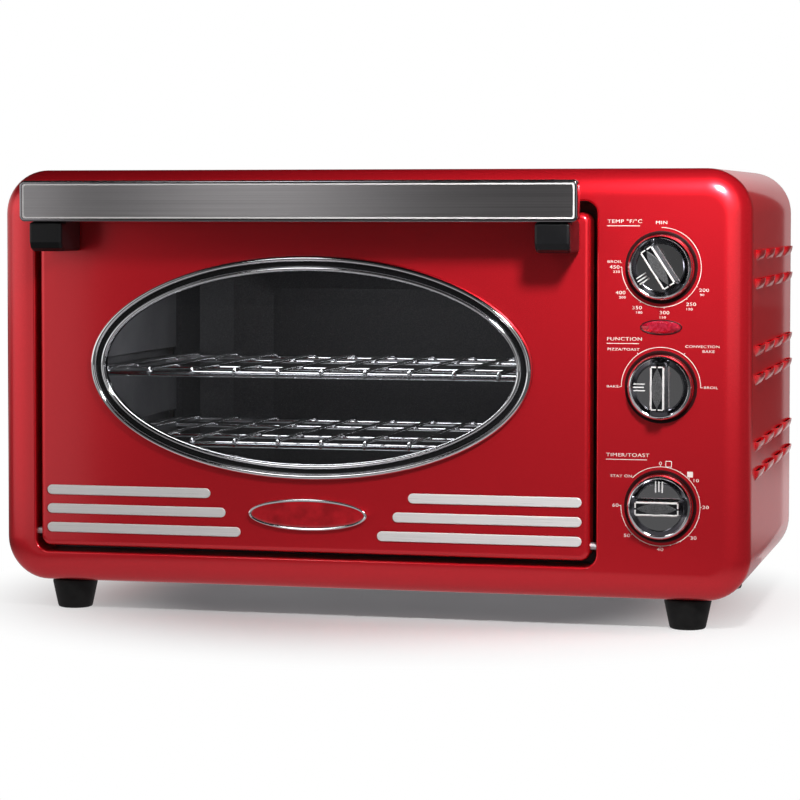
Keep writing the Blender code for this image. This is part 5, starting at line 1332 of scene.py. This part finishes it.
def print_temperature():
    """The temperature scale: an arc from the least to the most, in both usual units."""
    place, texts, shapes = start_print("temperature")
    texts.append(letters("MIN", *at_angle(place, 0, MIN_REACH), NUMBER_SIZE))
    for angle, reach, number, small in TEMPERATURE_MARKS:
        x, z = at_angle(place, angle, reach)
        shift = SMALL_SHIFT if x < place.x else -SMALL_SHIFT
        texts.append(letters(number, x, z, NUMBER_SIZE))
        texts.append(letters(small, x + shift, z - SMALL_DROP, SMALL_SIZE))
        shapes.append(tick(place, angle, TEMPERATURE_TICK))
    texts.append(letters("BROIL", x, z + BROIL_RISE, BROIL_SIZE))
    print_piece("temperature_print", texts, shapes)


def print_function():
    """The function scale: four places on a half circle."""
    place, texts, shapes = start_print("function")
    shapes.extend(tick(place, angle, FUNCTION_TICK) for angle in FUNCTION_BEARINGS)
    for text, across, up in FUNCTION_WORDS:
        texts.append(letters(text, place.x + across, place.z + up, WORD_SIZE))
    print_piece("function_print", texts, shapes)


def print_timer():
    """The timer's scale in minutes, with an open and a filled slice for light and dark toast."""
    place, texts, shapes = start_print("timer")
    first, last = 0, SCALE_ENDS["timer"][1]
    for angle in range(first, last + 1, TIMER_TICK_STEP):
        length = TIMER_TICK if angle % TIMER_LONG_STEP else TIMER_LONG_TICK
        shapes.append(tick(place, angle, length))
    for angle, reach, number in TIMER_MARKS:
        texts.append(letters(number, *at_angle(place, angle, reach), NUMBER_SIZE))
    across, up = STAY_ON_PLACE
    texts.append(letters("STAY ON", place.x + across, place.z + up, WORD_SIZE))
    x, z = place.x + PALE_SLICE_PLACE[0], place.z + PALE_SLICE_PLACE[1]
    for hand in (1, -1):
        shapes.append(bar_line(x, z + hand * SLICE_SIDE / 2, SLICE_SIDE, SCALE_LINE))
    for hand in (-1, 1):
        shapes.append(bar_line(x + hand * SLICE_SIDE / 2, z, SCALE_LINE, SLICE_SIDE))
    x, z = place.x + DARK_SLICE_PLACE[0], place.z + DARK_SLICE_PLACE[1]
    shapes.append(bar_line(x, z, SLICE_SIDE, SLICE_SIDE))
    print_piece("timer_print", texts, shapes)


# Racks


def make_rack(node, body):
    """A plated wire rack whose wires hook over the front and rear rods."""
    low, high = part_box(node)
    rod_z = low.z + RACK_ROD_RADIUS
    left, right = low.x + RACK_ROD_RADIUS, high.x - RACK_ROD_RADIUS
    front, back = low.y + RACK_ROD_RADIUS, high.y - RACK_ROD_RADIUS
    outline = rounded_outline((left, right, front, back), RACK_CORNER, RACK_CORNER_STEPS)
    path = [Vector((x, y, rod_z)) for x, y in outline]
    bodies = [(tube_rings(path, RACK_ROD_RADIUS, True), True)]
    reach = RACK_ROD_RADIUS + RACK_WIRE_RADIUS - FIT
    turns = [HOOK_TURN * step / HOOK_STEPS for step in range(HOOK_STEPS + 1)]
    hook = [(reach * sin(turn), rod_z + reach * cos(turn)) for turn in turns]
    for wire in range(RACK_WIRES):
        x = (low.x + high.x) / 2 + (wire - (RACK_WIRES - 1) / 2) * RACK_WIRE_PITCH
        path = [Vector((x, front - past, z)) for past, z in reversed(hook)]
        path += [Vector((x, back + past, z)) for past, z in hook]
        bodies.append(tube_rings(path, RACK_WIRE_RADIUS, sides=THIN_WIRE))
    cross_z = rod_z + RACK_ROD_RADIUS - RACK_WIRE_RADIUS
    for row in (-1, 1):
        y = (low.y + high.y) / 2 + row * RACK_CROSS_PITCH / 2
        ends = [Vector((x, y, cross_z)) for x in (left, right)]
        bodies.append(tube_rings(ends, RACK_WIRE_RADIUS, sides=THIN_WIRE))
    piece(f"{node}_wires", bodies, CHROME, body, node, SHARP_WIRE)


# Carried-over nodes


def dress_nodes():
    """Give each node that is shown as it is its material."""
    looks = {
        ZINC: (
            "base_plate", "crumb_tray", "hinge_pin_left", "hinge_pin_right", "hinge_plate_left",
            "hinge_plate_right", "control_plate", "thermostat", "timer_movement",
            "temperature_shaft", "function_shaft", "timer_shaft", "fan_housing",
            "convection_fan",
        ),
        HEATER: (
            "heating_rod_upper_front", "heating_rod_upper_rear", "heating_rod_lower_front",
            "heating_rod_lower_rear",
        ),
        CAVITY: ("cavity_left_wall", "cavity_right_wall", "cavity_roof", "cavity_floor"),
        # The face frame's near-black is painted shade in the gap round the door
        ENAMEL: ("cavity_back", "door_liner", "fan_motor", "face_frame"),
        PLASTIC: (
            "cord_gland", "handle_bracket_left", "handle_bracket_right", "function_switch",
        ),
        GLASS: ("door_glass",),
        LAMP: ("pilot_lamp",),
    }
    for material, names in looks.items():
        for name in names:
            for slot in frame["nodes"][name].material_slots:
                slot.material = material


# Studio


def make_camera():
    """The photograph's camera."""
    data = bpy.data.cameras.new("camera")
    data.sensor_width = CAMERA_SENSOR
    data.lens = CAMERA_LENS
    data.shift_x, data.shift_y = CAMERA_SHIFT_SHARES
    data.clip_start, data.clip_end = CAMERA_CLIP
    camera = add_object("camera", data)
    camera.location = CAMERA_PLACE
    camera.rotation_euler = (radians(90.0 - CAMERA_PITCH), 0.0, radians(CAMERA_YAW))
    bpy.context.scene.camera = camera
    bpy.context.scene.view_settings.view_transform = "Standard"


def make_world():
    """White for the camera, faint light for dull surfaces, and for gloss a room.

    The room is pale behind and at the left, and dark above.
    """
    world = bpy.data.worlds.new("studio")
    bpy.context.scene.world = world
    world.use_nodes = True
    world.node_tree.nodes.clear()
    graph = Graph(world.node_tree)
    axes = graph.add("SeparateXYZ")
    graph.link(graph.add("TexCoord").outputs["Generated"], axes.inputs["Vector"])
    left = graph.spread(axes.outputs["X"], *ROOM_LEFT, "SMOOTHSTEP")
    back = graph.spread(axes.outputs["Y"], *ROOM_BACK, "SMOOTHSTEP")
    right = graph.spread(axes.outputs["X"], *ROOM_RIGHT, "SMOOTHSTEP")
    above = graph.spread(axes.outputs["Z"], *ROOM_ABOVE, "SMOOTHSTEP")
    sides = graph.combine("MAXIMUM", left, graph.combine("MULTIPLY", back, right))
    room = graph.add("Background")
    graph.link(graph.combine("MULTIPLY", sides, above), room.inputs["Color"])
    faint = graph.add("Background", Color=WHITE, Strength=AMBIENT)
    white = graph.add("Background", Color=WHITE)
    rays = graph.add("LightPath").outputs
    sharp = graph.combine("MAXIMUM", rays["Is Glossy Ray"], rays["Is Transmission Ray"])
    gloss = graph.mix(sharp, faint.outputs["Background"], room.outputs["Background"])
    seen = graph.mix(rays["Is Camera Ray"], gloss, white.outputs["Background"])
    graph.link(seen, graph.add("OutputWorld").inputs["Surface"])


def make_floor():
    """A pale floor that keeps the object's shadow and turns white away from it.

    It throws little light back. In gloss it is grey near the object, and dark far behind it.
    """
    shape = bmesh.new()
    bmesh.ops.create_grid(shape, x_segments=1, y_segments=1, size=FLOOR_REACH)
    data = bpy.data.meshes.new("floor")
    shape.to_mesh(data)
    shape.free()
    floor = add_object("floor", data)
    material = bpy.data.materials.new("pale_floor")
    material.use_nodes = True
    nodes = material.node_tree.nodes
    graph = Graph(material.node_tree)
    pale = nodes["Principled BSDF"]
    pale.inputs["Base Color"].default_value = FLOOR_COLOUR
    pale.inputs["Roughness"].default_value = FLOOR_ROUGHNESS
    dull = graph.add("BsdfDiffuse", Color=FLOOR_BOUNCE)
    near = graph.add("Emission", Color=FLOOR_NEAR_GLOSS)
    white = graph.add("Emission", Color=WHITE)
    distant = graph.add("Emission")
    place = graph.add("TexCoord").outputs["Object"]
    distance = graph.add("VectorMath")
    distance.operation = "LENGTH"
    graph.link(place, distance.inputs[0])
    axes = graph.add("SeparateXYZ")
    graph.link(place, axes.inputs["Vector"])

    def fade(reach):
        return graph.spread(distance.outputs["Value"], *reach, 0.0, 1.0, "SMOOTHSTEP")

    back = graph.spread(axes.outputs["Y"], *FLOOR_BACK, "SMOOTHSTEP")
    far_back = graph.spread(axes.outputs["Y"], *FLOOR_FAR_BACK, "SMOOTHSTEP")
    graph.link(graph.combine("MINIMUM", back, far_back), distant.inputs["Color"])
    rays = graph.add("LightPath").outputs
    seen = graph.mix(fade(FLOOR_FADE), pale.outputs["BSDF"], white.outputs["Emission"])
    emissions = (near.outputs["Emission"], distant.outputs["Emission"])
    mirrored = graph.mix(fade(FLOOR_GLOSS_FADE), *emissions)
    other = graph.mix(rays["Is Glossy Ray"], dull.outputs["BSDF"], mirrored)
    surface = graph.mix(rays["Is Camera Ray"], other, seen)
    graph.link(surface, nodes["Material Output"].inputs["Surface"])
    data.materials.append(material)


def softbox(name, place, target, size, power):
    """A rectangular soft light at a place, facing a target."""
    data = bpy.data.lights.new(name, "AREA")
    data.shape = "RECTANGLE"
    data.size, data.size_y = size
    data.energy = power
    lamp = add_object(name, data)
    lamp.visible_camera = False
    lamp.location = place
    direction = Vector(target) - Vector(place)
    lamp.rotation_euler = direction.to_track_quat("-Z", "Y").to_euler()
    return lamp


def make_lights():
    """Soft boxes all round, one of them a small key, and a glow under the cavity's roof.

    The boxes over the object and at its side don't show in it, and the rear one only shows.
    """
    lamps = {name: softbox(name, *values) for name, values in LAMPS.items()}
    lamps["over_box"].visible_glossy = False
    lamps["side_box"].visible_glossy = False
    lamps["rear_box"].visible_diffuse = False
    lamps["key_box"].data.spread = radians(KEY_SPREAD)
    low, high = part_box("cavity_roof")
    x, y = (low.x + high.x) / 2, (low.y + high.y) / 2
    place = (x, y - GLOW_FORWARD, low.z - GLOW_DROP)
    softbox("cavity_glow", place, (x, y, 0.0), GLOW_SIZE, GLOW_POWER)


make_camera()
make_world()
make_floor()
make_lights()
make_bezel()
make_wrap()
make_back_cover()
make_feet()
make_door()
make_stripes()
make_window_ring()
make_badge()
make_handle()
for dial in DIAL_NAMES:
    make_knob(dial)
make_pilot()
print_temperature()
print_function()
print_timer()
make_rack("rack_lower", "lower_rack")
make_rack("rack_upper", "upper_rack")
dress_nodes()
